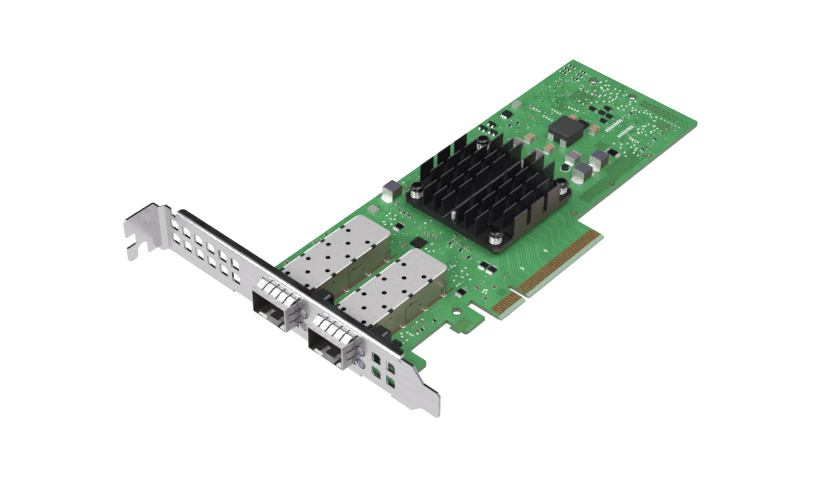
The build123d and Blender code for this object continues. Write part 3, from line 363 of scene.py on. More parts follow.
# Bare copper of a thin ring, browned by heat; the same finish colours the brown strips beside the cages
brown_copper = plain("browned_copper", "5B4A38", "6E5A44", 0.3, 0.001, (0.4, 0.5), 0.3)

# White epoxy ink, screen printed and cured
white_ink = plain("screen_printed_ink", "D9DCD8", "ECEEEA", 0.3, 0.001, (0.5, 0.6))

# Dark resin-rich laminate between the contacts
contact_gap = plain("bare_laminate_between_contacts", "21190F", "30261A", 0.6, 0.001, (0.5, 0.6))

# Painted shade: a dark disc for the inside of a hole seen from above
hole_shade = plain("painted_shade_in_hole", "17231A", "20301F", 0.2, 0.001, (0.5, 0.6))

# The unlit space behind a slot or a notch in the sheet
slot_dark = plain("unlit_space_behind_sheet", "060606", "0C0C0C", 0.3, 0.001, (0.7, 0.8))

dress(solder_mask, "pcb")
dress(gold, "edge_contacts_front", "edge_contacts_back")
dress(bracket_nickel, "bracket")
dress(zinc, "bracket_screw_1", "bracket_screw_2", "bracket_nut_1", "bracket_nut_2")
dress(cage_tin, "sfp_cage_1", "sfp_cage_2")
dress(spring_plate, "emi_collar_1", "emi_collar_2")
dress(black_moulding, "port_connector_1", "port_connector_2", "light_pipe_holder_1", "light_pipe_holder_2")
dress(pipe_clear, "light_pipe_1", "light_pipe_2")
dress(diode_resin, "status_leds_1", "status_leds_2")
dress(anodised, "heatsink")
dress(post_steel, "earthing_posts")
dress(pin_nylon, "push_pin_1", "push_pin_2", "push_pin_3", "push_pin_4")
dress(spring_wire, "push_pin_spring_1", "push_pin_spring_2", "push_pin_spring_3", "push_pin_spring_4")
dress(pad_grey, "thermal_pad")
dress(lid_nickel, "controller_lid")
dress(package_green, "controller_substrate")
dress(pressed_powder, "power_inductor_core")
dress(epoxy, "power_stage", "clock_chip", "diodes", "small_outline_bodies")
dress(ferrite, "choke")
dress(tin, "power_inductor_terminals", "small_outline_leads", "bulk_capacitor_frames", "block_capacitor_ends")
dress(tin, "ceramic_capacitor_ends", "sense_resistor_ends", "shunt_resistor_ends")
dress(tin, "chip_capacitor_ends", "chip_resistor_ends")
dress(slate_ceramic, "bulk_capacitor_bodies")
dress(grey_ceramic, "block_capacitor_bodies")
dress(tan_ceramic, "ceramic_capacitor_bodies")
dress(small_ceramic, "chip_capacitor_bodies")
dress(glaze, "sense_resistor_bodies", "shunt_resistor_bodies", "chip_resistor_bodies")
dress(can_nickel, "oscillator", "crystal_can")


# Meshes as whole arrays, in mm

def piece(name, points, faces, finish, slot, smooth=None):
    """Put points and faces into a mesh that rides on the card; smooth is the crease angle in degrees."""
    mesh = bpy.data.meshes.new(name)
    mesh.from_pydata((np.asarray(points, float) * MM).tolist(), [], [list(map(int, f)) for f in faces])
    mesh.materials.append(finish)
    if smooth:
        mesh.polygons.foreach_set("use_smooth", np.ones(len(mesh.polygons), bool))
        mesh.set_sharp_from_angle(angle=np.radians(smooth))
    made = bpy.data.objects.new(name, mesh)
    bpy.context.scene.collection.objects.link(made)
    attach(made, "root")
    return made


def blocks(rows):
    """Boxes from rows of centre x, centre y, length, width, low z, high z and turn in degrees.

    Eight corner signs times half the length and width, turned, then moved to the centre.
    """
    x, y, length, width, low, high, turn = (column[:, None] for column in np.asarray(rows, float).T)
    corner = np.arange(8)
    along = ((corner & 1) * 2 - 1) * length / 2
    across = ((corner >> 1 & 1) * 2 - 1) * width / 2
    turn = np.radians(turn)
    points = np.stack((
        x + along * np.cos(turn) - across * np.sin(turn),
        y + along * np.sin(turn) + across * np.cos(turn),
        low + (high - low) * (corner >> 2),
    ), axis=2).reshape(-1, 3)
    sides = np.array(((0, 2, 3, 1), (4, 5, 7, 6), (0, 1, 5, 4), (2, 6, 7, 3), (0, 4, 6, 2), (1, 3, 7, 5)))
    return points, (sides[None] + 8 * np.arange(len(x))[:, None, None]).reshape(-1, 4)


def plates(rows, low, high):
    """Unturned boxes between two heights, from rows of centre x, centre y, length and width."""
    return blocks(np.column_stack((rows, np.broadcast_to((low, high, 0.0), (len(rows), 3)))))


def chips(places, shift, length, width, low, high):
    """Turned boxes of one size: each place gives x, y and a turn, and the box is shifted that way."""
    x, y, turn = np.asarray(places, float).T
    size = np.broadcast_to((length, width, low, high), (len(x), 4))
    angle = np.radians(turn)
    return blocks(np.column_stack((x + shift * np.cos(angle), y + shift * np.sin(angle), size, turn)))


def turned(profile, centres, sides):
    """Solids of revolution: each radius and height of the profile becomes a ring about each centre.

    The profile runs up the outside, and its first and last radius are closed to a point on the axis.
    """
    radius, height = np.asarray(profile, float).T
    angle = np.linspace(0, 2 * np.pi, sides, endpoint=False)
    circles = np.stack((
        radius[:, None] * np.cos(angle),
        radius[:, None] * np.sin(angle),
        height[:, None] + 0 * angle,
    ), axis=2).reshape(-1, 3)
    poles = np.array(((0, 0, height[0]), (0, 0, height[-1])))
    shape = np.vstack((circles, poles))
    column = np.arange(sides)
    after = (column + 1) % sides
    level = sides * np.arange(len(radius) - 1)[:, None]
    walls = np.stack((level + column, level + after, level + sides + after, level + sides + column), 2)
    top = sides * (len(radius) - 1)
    foot = np.stack((0 * column + len(circles), after, column), 1)
    cap = np.stack((0 * column + len(circles) + 1, top + column, top + after), 1)
    places = np.column_stack((np.asarray(centres, float)[:, :2], np.zeros(len(centres))))
    points = (places[:, None] + shape[None]).reshape(-1, 3)
    steps = len(shape) * np.arange(len(places))
    faces = [face for step in steps for group in (walls.reshape(-1, 4), foot, cap) for face in group + step]
    return points, faces


def rings(centres, inner, outer, low, high, sides=12, up=1):
    """Sloping rings from the outer circle at low to the inner circle at high, round each centre."""
    angle = up * np.linspace(0, 2 * np.pi, sides, endpoint=False)
    circle = np.stack((np.cos(angle), np.sin(angle)), 1)
    shape = np.vstack((
        np.column_stack((outer * circle, np.full(sides, low))),
        np.column_stack((inner * circle, np.full(sides, high))),
    ))
    places = np.column_stack((np.asarray(centres, float)[:, :2], np.zeros(len(centres))))
    column = np.arange(sides)
    after = (column + 1) % sides
    walls = np.stack((column, after, sides + after, sides + column), 1)
    faces = (walls[None] + 2 * sides * np.arange(len(places))[:, None, None]).reshape(-1, 4)
    return (places[:, None] + shape[None]).reshape(-1, 3), faces


def tracks(paths, width, height, up=1):
    """Flat strips along paths of equal point count: each point moves to both sides along its mitre.

    The mitre is the sum of the two runs' normals divided by one plus their dot product.
    """
    runs = np.diff(paths, axis=1)
    runs /= np.linalg.norm(runs, axis=2, keepdims=True)
    normal = np.stack((-runs[..., Y], runs[..., X]), 2)
    before = np.concatenate((normal[:, :1], normal), 1)
    after = np.concatenate((normal, normal[:, -1:]), 1)
    mitre = (before + after) / (1 + (before * after).sum(2, keepdims=True))
    left, right = paths + mitre * width / 2, paths - mitre * width / 2
    count, length = paths.shape[:2]
    flat = np.stack((right, left), 2).reshape(-1, 2)
    points = np.column_stack((flat, np.full(len(flat), height)))
    start = 2 * (length * np.arange(count)[:, None] + np.arange(length - 1)[None])
    order = (0, 2, 3, 1) if up > 0 else (0, 1, 3, 2)
    return points, np.stack([start + step for step in order], 2).reshape(-1, 4)


def prism(outline, low, high):
    """Solid with the outline as its foot at low and as its top at high.

    The outline runs round anticlockwise, and each of its edges becomes a wall.
    """
    count = len(outline)
    column = np.arange(count)
    after = (column + 1) % count
    points = np.vstack([np.column_stack((outline, np.full(count, level))) for level in (low, high)])
    walls = np.stack((column, after, after + count, column + count), 1)
    return points, [*walls, column[::-1], column + count]


def coil(centre, radius, wire, low, high, turns, steps, sides):
    """Helical tube: the centre line turns about the axis while it rises, and a circle follows it.

    The first and last half turn lie flat, as on a closed spring end.
    """
    share = np.linspace(0, 1, int(turns * steps) + 1)
    angle = 2 * np.pi * turns * share
    rise = low + (high - low) * np.clip((share * turns - 0.5) / (turns - 1), 0, 1)
    around = np.linspace(0, 2 * np.pi, sides, endpoint=False)
    reach = radius + wire * np.cos(around)[None]
    tube = np.stack((
        centre[X] + reach * np.cos(angle)[:, None],
        centre[Y] + reach * np.sin(angle)[:, None],
        rise[:, None] + wire * np.sin(around)[None],
    ), axis=2).reshape(-1, 3)
    column = np.arange(sides)
    after = (column + 1) % sides
    level = sides * np.arange(len(share) - 1)[:, None]
    walls = np.stack((level + sides + column, level + sides + after, level + after, level + column), 2)
    return tube, [*walls.reshape(-1, 4), column, column[::-1] + sides * (len(share) - 1)]


def joined(parts):
    """One set of points and faces from several, with each face's numbers moved on."""
    steps = np.cumsum([0] + [len(points) for points, _ in parts[:-1]])
    faces = [face + step for (_, group), step in zip(parts, steps) for face in group]
    return np.vstack([points for points, _ in parts]), faces


# Places as lists, in mm

def twins(places, offset, size=()):
    """Two rows for each place, at minus and plus the offset, each with the size behind it."""
    return [(x + side * offset[X], y + side * offset[Y], *size) for x, y in places for side in (-1, 1)]


def line_of(count, start, step, size=()):
    """Rows from the start, one step apart, each with the size behind it."""
    return [(start[X] + n * step[X], start[Y] + n * step[Y], *size) for n in range(count)]


def routes(*corners):
    """Paths from their corners: each corner gives x and y, as one number or as one for each path."""
    return np.stack([np.stack(np.broadcast_arrays(x, y), 1) for x, y in corners], 1)


spread = np.random.default_rng(11)


def scattered(regions):
    """Spots spread evenly over regions, each with its low corner, its high corner and a count."""
    return np.concatenate([spread.uniform(low, high, (count, 2)) for low, high, count in regions])


def clear_of_holes(points, margin):
    """True for each row whose points all lie farther than the margin from every hole's centre."""
    gap = np.linalg.norm(points[..., None, :] - np.array(tooling_holes + plated_holes), axis=-1)
    return gap.reshape(len(points), -1).min(1) > margin


# Round push pins and springs in place of the flat-sided ones, as profiles of radius and height
pin_low, pin_high = box("push_pin_1")
tip, top = pin_low[Z], pin_high[Z]
head = (pin_high[X] - pin_low[X]) / 2
head_low = top - 1.8
shank, barb = 1.1, 1.75
pin = [
    (0.5, tip), (0.8, tip + 0.03), (barb, underside - 0.18), (barb, underside - 0.06),
    (shank, underside - 0.05), (shank, head_low), (head - 0.45, head_low), (head - 0.25, head_low + 0.05),
    (head - 0.25, head_low + 0.25), (head, head_low + 0.3), (head, head_low + 0.36),
    (head - 0.25, head_low + 0.6), (head - 0.3, top - 0.75), (head - 0.45, top - 0.4),
    (head - 0.85, top - 0.14), (0.9, top),
]
wire, touch = 0.25, 0.01
spring = {"radius": 1.8, "wire": wire, "turns": 4.6, "steps": 28, "sides": 10}
spring |= {"low": pocket_floor + wire + touch, "high": head_low - wire - touch}
for number, place in enumerate(pin_places, 1):
    made = piece(f"push_pin_round_{number}", *turned(pin, [place], 40), pin_nylon, "pin_plastic", 40)
    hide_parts(f"push_pin_{number}")
    made = piece(f"spring_round_{number}", *coil(place, **spring), spring_wire, "spring_steel", 60)
    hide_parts(f"push_pin_spring_{number}")

# Earthing posts, round, with a chamfered tip
post_low, post_high = box("earthing_posts")
radius = (post_high[Y] - post_low[Y]) / 2
foot, tip = post_low[Z], post_high[Z]
post = [
    (radius - 0.15, foot), (radius, foot + 0.05), (radius, tip - 0.2), (radius - 0.05, tip - 0.05),
    (radius - 0.2, tip),
]
post_places = [(post_low[X] + radius, sink_middle[Y]), (post_high[X] - radius, sink_middle[Y])]
made = piece("posts_round", *turned(post, post_places, 20), post_steel, "post_steel", 40)
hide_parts("earthing_posts")

# Choke: a round ferrite drum with a waist
radius = box("choke")[1][X] - choke_place[X]
top = box("choke")[1][Z]
waist = radius - 0.25
drum = [
    (radius - 0.2, 0.0), (radius, 0.1), (radius, 0.3), (waist, 0.45), (waist, 0.8), (radius, 0.95),
    (radius, top - 0.1), (radius - 0.15, top),
]
made = piece("choke_round", *turned(drum, [choke_place], 28), ferrite, "choke_ferrite", 35)
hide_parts("choke")

# The cages' press-fit legs show beside the walls: a tinned ring, painted shade in the hole, and back solder
leg_line = cage_half + 0.325
leg_places = twins([(x, y) for y in ports for x in leg_columns], (0, leg_line))
piece("leg_rings", *rings(leg_places, inner=0.4, outer=0.72, low=0.02, high=0.08, sides=16), tin, "tin")
piece("leg_hole_shadows", *turned([(0.42, 0.015), (0.42, 0.07)], leg_places, 12), hole_shade, "solder_mask")
solder = rings(leg_places, inner=0.3, outer=0.9, low=underside - 0.02, high=underside - 0.53, up=-1)
piece("leg_solder_back", *solder, tin, "tin")

# Copper rims of the tooling holes, and rims of the plated holes with a painted highlight on their walls
rims = rings(tooling_holes, inner=1.5, outer=1.72, low=0.015, high=0.02, sides=28)
piece("tooling_rings", *rims, brown_copper, "gold_contact")
rims = rings(plated_holes, inner=0.72, outer=1.1, low=0.015, high=0.03, sides=20)
piece("plated_rings", *rims, brown_copper, "gold_contact")
walls = rings(plated_holes, inner=0.66, outer=0.69, low=underside + 0.02, high=0.02, sides=20, up=-1)
piece("plated_walls", *walls, painted_highlight, "tin")

# Single test rings, each with a disc of painted shade for its hole
loose_rings = [(-7.4, 14.4), (-3.3, 10.7), (-9.3, 9.4), (95.3, 62.3), (-44.3, 12.6)]
rims = rings(loose_rings, inner=0.45, outer=0.85, low=0.015, high=0.03, sides=20)
piece("test_rings", *rims, copper_ring, "tin")
piece("test_ring_hole_shades", *turned([(0.44, 0.005), (0.44, 0.02)], loose_rings, 16), hole_shade, "solder_mask")

# Mask patches where the copper under it changes: rows of centre and size
bare_patches = [
    (94.0, 51.2, 6.2, 7.6), (74.2, 17.4, 16.4, 6.4), (57.45, 16.0, 17.1, 4.6), (76.6, 29.2, 3.8, 4.2),
    (84.6, 52.6, 4.4, 3.0), (-3.6, 7.2, 3.0, 2.6), (87.2, 55.6, 4.0, 3.0),
]
brown_patches = [(105.9, 26.6, 3.6, 15.0), (99.8, 19.8, 4.4, 6.4), (-23.4, 7.2, 7.0, 4.0)]
piece("bare_patches", *plates(bare_patches, low=0.002, high=0.012), bare_mask, "solder_mask")
piece("brown_patches", *plates(brown_patches, low=0.002, high=0.013), brown_mask, "solder_mask")

# Plugged vias in two regular fields: a diamond lattice at the upper edge and two rows at the far edge
lattice = []
for row in range(6):
    shift = 1.75 if row % 2 == 0 else 0
    lattice += line_of(3, (82.7 + shift, 65.4 - 1.85 * row), (3.5, 0))
for x in (104.9, 106.95):
    lattice += line_of(10, (x, 32.8), (0, -2.0))
piece("plugged_vias", *turned([(0.34, 0.005), (0.34, 0.017)], lattice, 10), plugged_via, "solder_mask")

# Thin brown strips on the board beside the cages, along their feet
strips = twins([(-32.0, y) for y in ports], (0, leg_line), (39.0, 0.6))
piece("brown_strips_beside_cages", *plates(strips, low=0.002, high=0.015), brown_copper, "gold_contact")

# Painted highlight on the bend along each upper edge of the cages, between the notches
notches = [-49.7 + notch_pitch * n for n in range(4)]
stops = [-55.3, *notches, -15.1]
notch_gap = 1.7
bends = []
for start, end in zip(stops, stops[1:]):
    spots = [((start + end) / 2, y) for y in ports]
    bends += twins(spots, (0, cage_half - 0.095), (end - start - notch_gap, 0.22))
piece("cage_bend_highlights", *plates(bends, cage_top - 0.01, cage_top + 0.015), painted_highlight, "cage_sheet")

# Shadows in the notches, on the roof and on the wall, and in the narrow slots of the side walls: rows of
# x, low z and high z
notch_spots = [(x, y) for x in notches for y in ports]
wall_slots = ((-41.0, 6.65, 7.15), (-32.0, 6.35, 6.85), (-27.6, 3.05, 3.55))
shadows = [
    plates(twins(notch_spots, (0, cage_half - 0.365), (1.9, 0.66)), cage_top - 0.03, cage_top + 0.01),
    plates(twins(notch_spots, (0, cage_half - 0.005), (1.9, 0.03)), cage_top - 0.7, cage_top),
]
for x, low, high in wall_slots:
    shadows.append(plates(twins([(x, y) for y in ports], (0, cage_half + 0.005), (0.9, 0.03)), low, high))
piece("cage_shadows", *joined(shadows), slot_dark, "cage_sheet")

# The gaps between the collars' fingers look black: thin dark webs of painted shade fill them up to the
# fingers' faces.
# Outlines in x and z over the cage, and in x and the distance from the port's middle beside it
finger_pitch, web_half = 2.89, 0.25
over = [(-60.6, 9.9), (-57.4, 9.9), (-57.4, 10.84), (-58.2, 11.03), (-60.2, 10.08), (-60.6, 10.06)]
gap_lines = [y + finger_pitch * (n - 2.5) for y in ports for n in range(1, 5)]
points, faces = joined([prism(over, y - web_half, y + web_half) for y in gap_lines])
over_faces = [face[::-1] for face in faces]
piece("finger_gaps_over", points[:, (X, Z, Y)], over_faces, slot_dark, "collar_sheet")
beside = [(-60.6, 7.0), (-57.4, 7.0), (-57.4, 7.5), (-58.7, 7.64), (-60.2, 7.31), (-60.6, 7.29)]
points, faces = joined([prism(beside, z - web_half, z + web_half) for z in (3.767, 6.883)])
for number, (y, side) in enumerate(((y, side) for y in ports for side in (-1, 1)), 1):
    facing = faces if side > 0 else [face[::-1] for face in faces]
    placed = points * (1, side, 1) + (0, y, 0)
    piece(f"finger_gaps_beside_{number}", placed, facing, slot_dark, "collar_sheet")

# Tabs of the cage floor at the foot of each mouth, made bright with painted highlight
tabs = [(-61.4, y - 5.6, 1.6, 2.4) for y in ports] + [(-61.7, y + 3.2, 1.0, 3.2) for y in ports]
piece("floor_tabs", *plates(tabs, cage_floor + 0.005, cage_floor + 0.04), painted_highlight, "cage_sheet")

# Polished domes on the light pipes' ends in their black cups, turned about X
pipe_radius = 1.55
dome = [(1.5, 0.0), (1.42, 0.18), (1.2, 0.34), (0.85, 0.46), (0.45, 0.53), (0.15, 0.55)]
dome_points, dome_faces = turned(dome, [(0.0, 0.0)], 24)
cup_points, cup_faces = rings([(0.0, 0.0)], inner=1.5, outer=1.66, low=0.0, high=0.02, sides=24)
pipe_ends = []
for port in (1, 2):
    low, high = box(f"light_pipe_{port}")
    axes = (high[Z] - pipe_radius, low[Z] + pipe_radius)
    pipe_ends += [(low[X], (low[Y] + high[Y]) / 2, z) for z in axes]
for number, place in enumerate(pipe_ends, 1):
    points = dome_points[:, (Z, Y, X)] * (-1, 1, 1) + place
    piece(f"light_pipe_dome_{number}", points, dome_faces, pipe_clear, "pipe_plastic", 50)
    points = cup_points[:, (Z, Y, X)] * (-1, 1, 1) + place
    piece(f"light_pipe_cup_{number}", points, cup_faces, black_moulding, "holder_plastic")

# Tracks from the heat sink's edge down to the edge contacts: straight, a 45-degree run, then straight
contact = np.array([n for n in range(contacts_after_key) if n % 4 != 3])
target = 1.5 + contact_pitch * contact
source = 9.0 + 0.92 * contact
bend = 8.4 + 0.16 * np.abs(contact - 18)
bends = ((source, bend + np.abs(target - source)), (target, bend))
paths = routes((source, sink_low[Y] + 0.5), *bends, (target, contact_high[Y] + 0.2))
piece("tracks_to_contacts", *tracks(paths, width=0.2, height=0.016), etched_gap, "solder_mask")
back = tracks(paths, width=0.2, height=underside - 0.016, up=-1)
piece("tracks_to_contacts_back", *back, etched_gap, "solder_mask")

# Tracks from the heat sink's left edge to both ports, eight for each, with a 45-degree run in the middle
lane = np.arange(8)
start_y = np.concatenate([35.6 + 0.45 * lane, 29.2 + 0.45 * lane])
end_y = np.concatenate([46.2 + 0.9 * lane, 22.6 + 0.9 * lane])
halfway = -3.0
climb = np.abs(end_y - start_y) / 2
bends = ((halfway + climb, start_y), (halfway - climb, end_y))
paths = routes((sink_low[X] - 0.2, start_y), *bends, (cage_high[X] + 0.2, end_y))
piece("tracks_to_ports", *tracks(paths, width=0.18, height=0.016), etched_gap, "solder_mask")

# Short tracks among the small parts, each with one bend, spread evenly with a fixed seed
start = scattered([
    ((83, 40), (108, 60), 60), ((83, 15), (104, 36), 60), ((-12, 55), (20, 66), 50), ((48, 52), (80, 66), 40),
])
reach = spread.uniform(1.5, 4.5, (len(start), 1))
heading = spread.integers(0, 8, len(start)) * np.pi / 4
first = np.stack((np.cos(heading), np.sin(heading)), 1)
second = np.stack((np.cos(heading + np.pi / 4), np.sin(heading + np.pi / 4)), 1)
paths = np.stack((start, start + reach * first, start + reach * (first + 0.6 * second)), 1)
paths = np.clip(paths, (-13, 13), (109.5, 67.4))
share = np.linspace(0, 1, 9)[None, :, None]
along = [paths[:, None, n] * (1 - share) + paths[:, None, n + 1] * share for n in range(2)]
paths = paths[clear_of_holes(np.concatenate(along, 1), 2.1)]
piece("short_tracks", *tracks(paths, width=0.16, height=0.014), etched_gap, "solder_mask")

# Small vias along the pours: low rings under the mask, tinned on the back
vias = np.concatenate(([(106.8 - 2.0 * (n % 2), 33.5 - 1.55 * n) for n in range(14)], scattered([
    ((84, 38), (109, 67), 90), ((60, 14), (80, 36), 50), ((48, 50), (82, 67), 60), ((-12, 20), (5.5, 67), 70),
    ((-40, 62), (-14, 67), 30), ((8, 60), (46, 67), 40),
])))
vias = vias[clear_of_holes(vias, 2.0)]
piece("vias", *rings(vias, inner=0.14, outer=0.3, low=0.014, high=0.022, sides=8), bare_mask, "solder_mask")
back = rings(vias, inner=0.14, outer=0.3, low=underside - 0.014, high=underside - 0.022, sides=8, up=-1)
piece("vias_back", *back, pad_tin, "tin")

# Open vias, bright as the pads
open_vias = scattered([
    ((84, 40), (108, 66), 90), ((80, 15), (103, 38), 60), ((-12, 14), (5, 60), 70),
    ((-40, 61), (-14, 67), 20), ((48, 52), (80, 66), 30), ((8, 62), (46, 67), 30),
])
open_vias = open_vias[clear_of_holes(open_vias, 2.0)]
piece("open_vias", *turned([(0.17, 0.01), (0.15, 0.03)], open_vias, 8), pad_tin, "tin")

# Bare pads in rows: count, first place, step and size
pad_rows = (
    (10, (84.3, 32.9), (0.93, 0), (0.42, 1.3)),
    (9, (84.6, 27.9), (0.97, 0), (0.42, 1.3)),
    (4, (86.2, 50.9), (0.1, -1.15), (0.95, 0.4)),
    (4, (81.0, 54.5), (0, -1.2), (0.95, 0.4)),
    (4, (76.1, 54.4), (0, -1.2), (0.95, 0.4)),
    (4, (77.1, 60.9), (0, -1.2), (0.95, 0.4)),
    (4, (86.6, 24.5), (0, -1.1), (0.9, 0.36)),
    (6, (103.0, 22.9), (0, -1.5), (0.4, 0.32)),
)
pads = [pad for row in pad_rows for pad in line_of(*row)]

# Chip arrays at the upper edge: three pads across each place with black strips between them
array_pad, array_strip = (0.9, 0.45), (0.8, 0.7)
array_rows = (
    (1.3, ((101.2, 65.4), (103.7, 65.6), (106.3, 65.3))),
    (1.2, ((101.0, 59.8), (103.6, 59.9), (106.3, 60.1))),
)
black_strips = []
for step, places in array_rows:
    pads += [(*place, *array_pad) for place in places] + twins(places, (0, step), array_pad)
    black_strips += twins(places, (0, step / 2), array_strip)

# Single bare pads, at bright spots picked in the photograph and carried onto the board's plane
single_pad = (0.62, 0.5)
single_pads = [
    (106.1, 51.8), (107.8, 50.8), (105.3, 49.4), (106.2, 48.4), (103.0, 49.2), (100.4, 50.2), (106.1, 45.4),
    (106.3, 43.7), (102.9, 44.8), (104.4, 43.2), (100.7, 45.9), (100.8, 43.9), (101.4, 41.9), (106.1, 40.4),
    (104.9, 40.8), (99.2, 47.0), (99.9, 42.1), (97.1, 43.9), (95.4, 45.7), (98.5, 42.4), (99.5, 37.7),
    (97.5, 37.6), (98.1, 35.8), (100.7, 36.4), (103.5, 36.9), (105.0, 35.7), (101.2, 34.1), (101.0, 32.6),
    (100.8, 31.0), (99.9, 33.3), (103.2, 29.7), (102.0, 28.4), (102.5, 27.4), (101.7, 29.5), (101.3, 26.1),
    (102.5, 24.8), (100.3, 24.1), (92.4, 25.4), (95.0, 25.1), (97.3, 24.3), (92.0, 23.3), (90.7, 23.8),
    (97.5, 22.4), (97.5, 20.7), (95.8, 20.8), (94.6, 21.2), (91.8, 21.4), (84.4, 21.0), (82.7, 21.1),
    (83.4, 19.4), (82.2, 19.1), (80.6, 16.7), (80.8, 18.6), (80.0, 23.6), (81.8, 24.6), (83.4, 23.3),
    (78.9, 21.1), (77.5, 19.6), (80.3, 26.7), (4.8, 46.9), (7.1, 46.3), (-0.8, 58.7), (0.6, 58.8),
    (1.0, 56.7), (-1.3, 56.6), (-0.4, 55.6), (-3.8, 57.3), (-4.5, 56.1), (-3.1, 54.6), (-5.4, 26.7),
    (-4.3, 26.4), (-2.7, 23.1), (-4.6, 23.0), (-7.6, 22.9), (-4.8, 20.7), (-6.7, 21.0), (-5.9, 18.5),
    (-9.6, 22.0), (-10.9, 19.7), (-9.7, 19.7), (-6.5, 12.1), (-7.3, 10.8), (-7.5, 11.9), (-6.2, 11.5),
    (20.8, 9.9), (20.8, 9.2), (9.3, 10.1), (9.2, 9.3), (-1.3, 38.6), (-4.4, 38.4), (-4.7, 36.9),
    (-3.5, 35.9), (15.4, 66.2), (-36.8, 17.2), (-36.8, 16.1), (-36.7, 15.2), (-39.2, 17.2), (-39.4, 15.1),
    (-41.2, 15.1), (-31.6, 18.1), (-29.6, 17.6), (-32.4, 14.5), (-35.1, 14.6), (-38.4, 18.2), (97.7, 54.8),
    (97.8, 51.9), (97.8, 49.7), (98.3, 46.9), (91.7, 50.7), (91.1, 48.5), (94.0, 49.3), (93.7, 46.8),
    (105.6, 51.9), (103.5, 49.7), (102.4, 48.0), (104.1, 47.3), (103.0, 45.1), (100.4, 42.3), (102.6, 42.2),
    (102.3, 36.1), (97.6, 38.0), (93.8, 24.1), (95.8, 24.6), (98.0, 22.2), (93.9, 20.8), (91.1, 24.3),
    (86.3, 24.3), (86.0, 23.0),
]
pads += [(*place, *single_pad) for place in single_pads]
piece("bare_pads", *plates(pads, low=0.004, high=0.05), pad_tin, "tin")
piece("strip_bodies", *plates(black_strips, low=0.005, high=0.3), glaze, "resistor_glaze")

# Smallest chip parts: rows of x, y and turn, in turns a black body and a tan one, each between two ends
tiny = [
    (-30.5, 17.1, 0), (-34.0, 17.2, 0), (-34.3, 15.4, 0), (-31.2, 15.2, 0), (102.6, 53.3, 0),
    (94.6, 33.2, 0), (94.4, 27.9, 0), (98.2, 33.0, 0), (96.1, 17.9, 0), (88.7, 17.9, 0), (85.8, 17.6, 0),
    (91.2, 55.6, 90), (97.9, 53.4, 90), (98.3, 48.4, 90), (93.8, 48.4, 90), (91.1, 46.6, 90),
    (-7.4, 14.6, 0), (2.3, 10.9, 0), (-21.2, 67.0, 0), (-19.2, 66.7, 0), (7.9, 32.1, 90), (0.5, 26.5, 90),
    (7.2, 35.8, 0), (5.5, 34.7, 0), (4.1, 34.3, 90), (4.7, 32.7, 0), (4.8, 31.6, 0), (4.5, 28.7, 0),
    (4.7, 27.6, 0), (4.5, 29.4, 0), (-7.5, 44.1, 0), (0.4, 41.6, 0),
    *line_of(6, (3.8, 57.4), (0, -1.05), (0,)),
]
body = {"shift": 0, "length": 0.62, "width": 0.5, "low": 0.02, "high": 0.38}
piece("tiny_black_bodies", *chips(tiny[::2], **body), glaze, "resistor_glaze")
piece("tiny_tan_bodies", *chips(tiny[1::2], **body), small_ceramic, "tan_ceramic")
ends = [chips(tiny, shift, length=0.24, width=0.54, low=0.01, high=0.4) for shift in (-0.42, 0.42)]
piece("tiny_ends", *joined(ends), tin, "tin")

# Solder that reaches out under the larger parts' ends, as thin plates of reflowed tin
feet = twins(block_places, (2.35, 0), (1.1, 3.2)) + twins(ceramic_places, (1.75, 0), (0.8, 2.3))
feet += twins(sense_places, (1.75, 0), (0.7, 2.2)) + twins(bulk_places, (3.5, 0), (1.2, 3.6))
feet += twins(shunt_places, (0, 2.3), (2.2, 0.8))
piece("solder_feet", *plates(feet, low=0.005, high=0.14), tin, "tin")
feet = twins(diode_places, (0, 1.45), (0.7, 0.7))
piece("diode_feet", *plates(feet, low=0.005, high=0.22), tin, "tin")

# Dark laminate between the contacts on both faces, lower than the gold
contact_middle = (contact_low[Y] + contact_high[Y]) / 2
contact_length = contact_high[Y] - contact_low[Y]
gap_strips = [
    (x, contact_middle, count * contact_pitch, contact_length)
    for x, count in ((-6.5, contacts_before_key), (20.0, contacts_after_key))
]
piece("contact_gaps", *plates(gap_strips, low=0.002, high=0.02), contact_gap, "solder_mask")
back = plates(gap_strips, low=underside - 0.02, high=underside - 0.002)
piece("contact_gaps_back", *back, contact_gap, "solder_mask")

# Painted highlights along the milled edges of the heat sink's middle channel
edges = twins([sink_middle[:2]], (0, 2.42), (sink_high[X] - sink_low[X], 0.4))
piece("channel_edge_highlights", *plates(edges, base_top - 0.01, base_top + 0.012), edge_highlight_anodising, "black_anodised")

# Printed ring round the choke
printed = rings([choke_place], inner=1.5, outer=1.75, low=0.014, high=0.02, sides=32)
piece("choke_ring", *printed, white_ink, "solder_mask")

# Floor: the camera and clear plastic see white with a faint shadow on it, and metal reflects pale grey
floor_half = 3.0
floor_z = cad_box[0][Z] - 0.01 * MM
floor_finish = bpy.data.materials.new("pale_floor")
floor_finish.use_nodes = True
tree = floor_finish.node_tree
tree.nodes.clear()
ray = add(tree, "ShaderNodeLightPath")
seen = {0: ray.outputs["Is Camera Ray"], 1: ray.outputs["Is Transmission Ray"]}
seen = add(tree, "ShaderNodeMath", seen, operation="MAXIMUM").outputs[0]
glow = add(tree, "ShaderNodeEmission", {"Color": tone("FFFFFF"), "Strength": 0.93})
dull = add(tree, "ShaderNodeBsdfDiffuse", {"Color": tone("B4B4B4")})
both = add(tree, "ShaderNodeAddShader", {0: glow.outputs[0], 1: dull.outputs[0]})
bright = add(tree, "ShaderNodeMixShader", {0: seen, 1: dull.outputs[0], 2: both.outputs[0]})
grey = add(tree, "ShaderNodeEmission", {"Color": tone("FFFFFF"), "Strength": 0.86})
pick = {0: ray.outputs["Is Glossy Ray"], 1: bright.outputs[0], 2: grey.outputs[0]}
pick = add(tree, "ShaderNodeMixShader", pick)
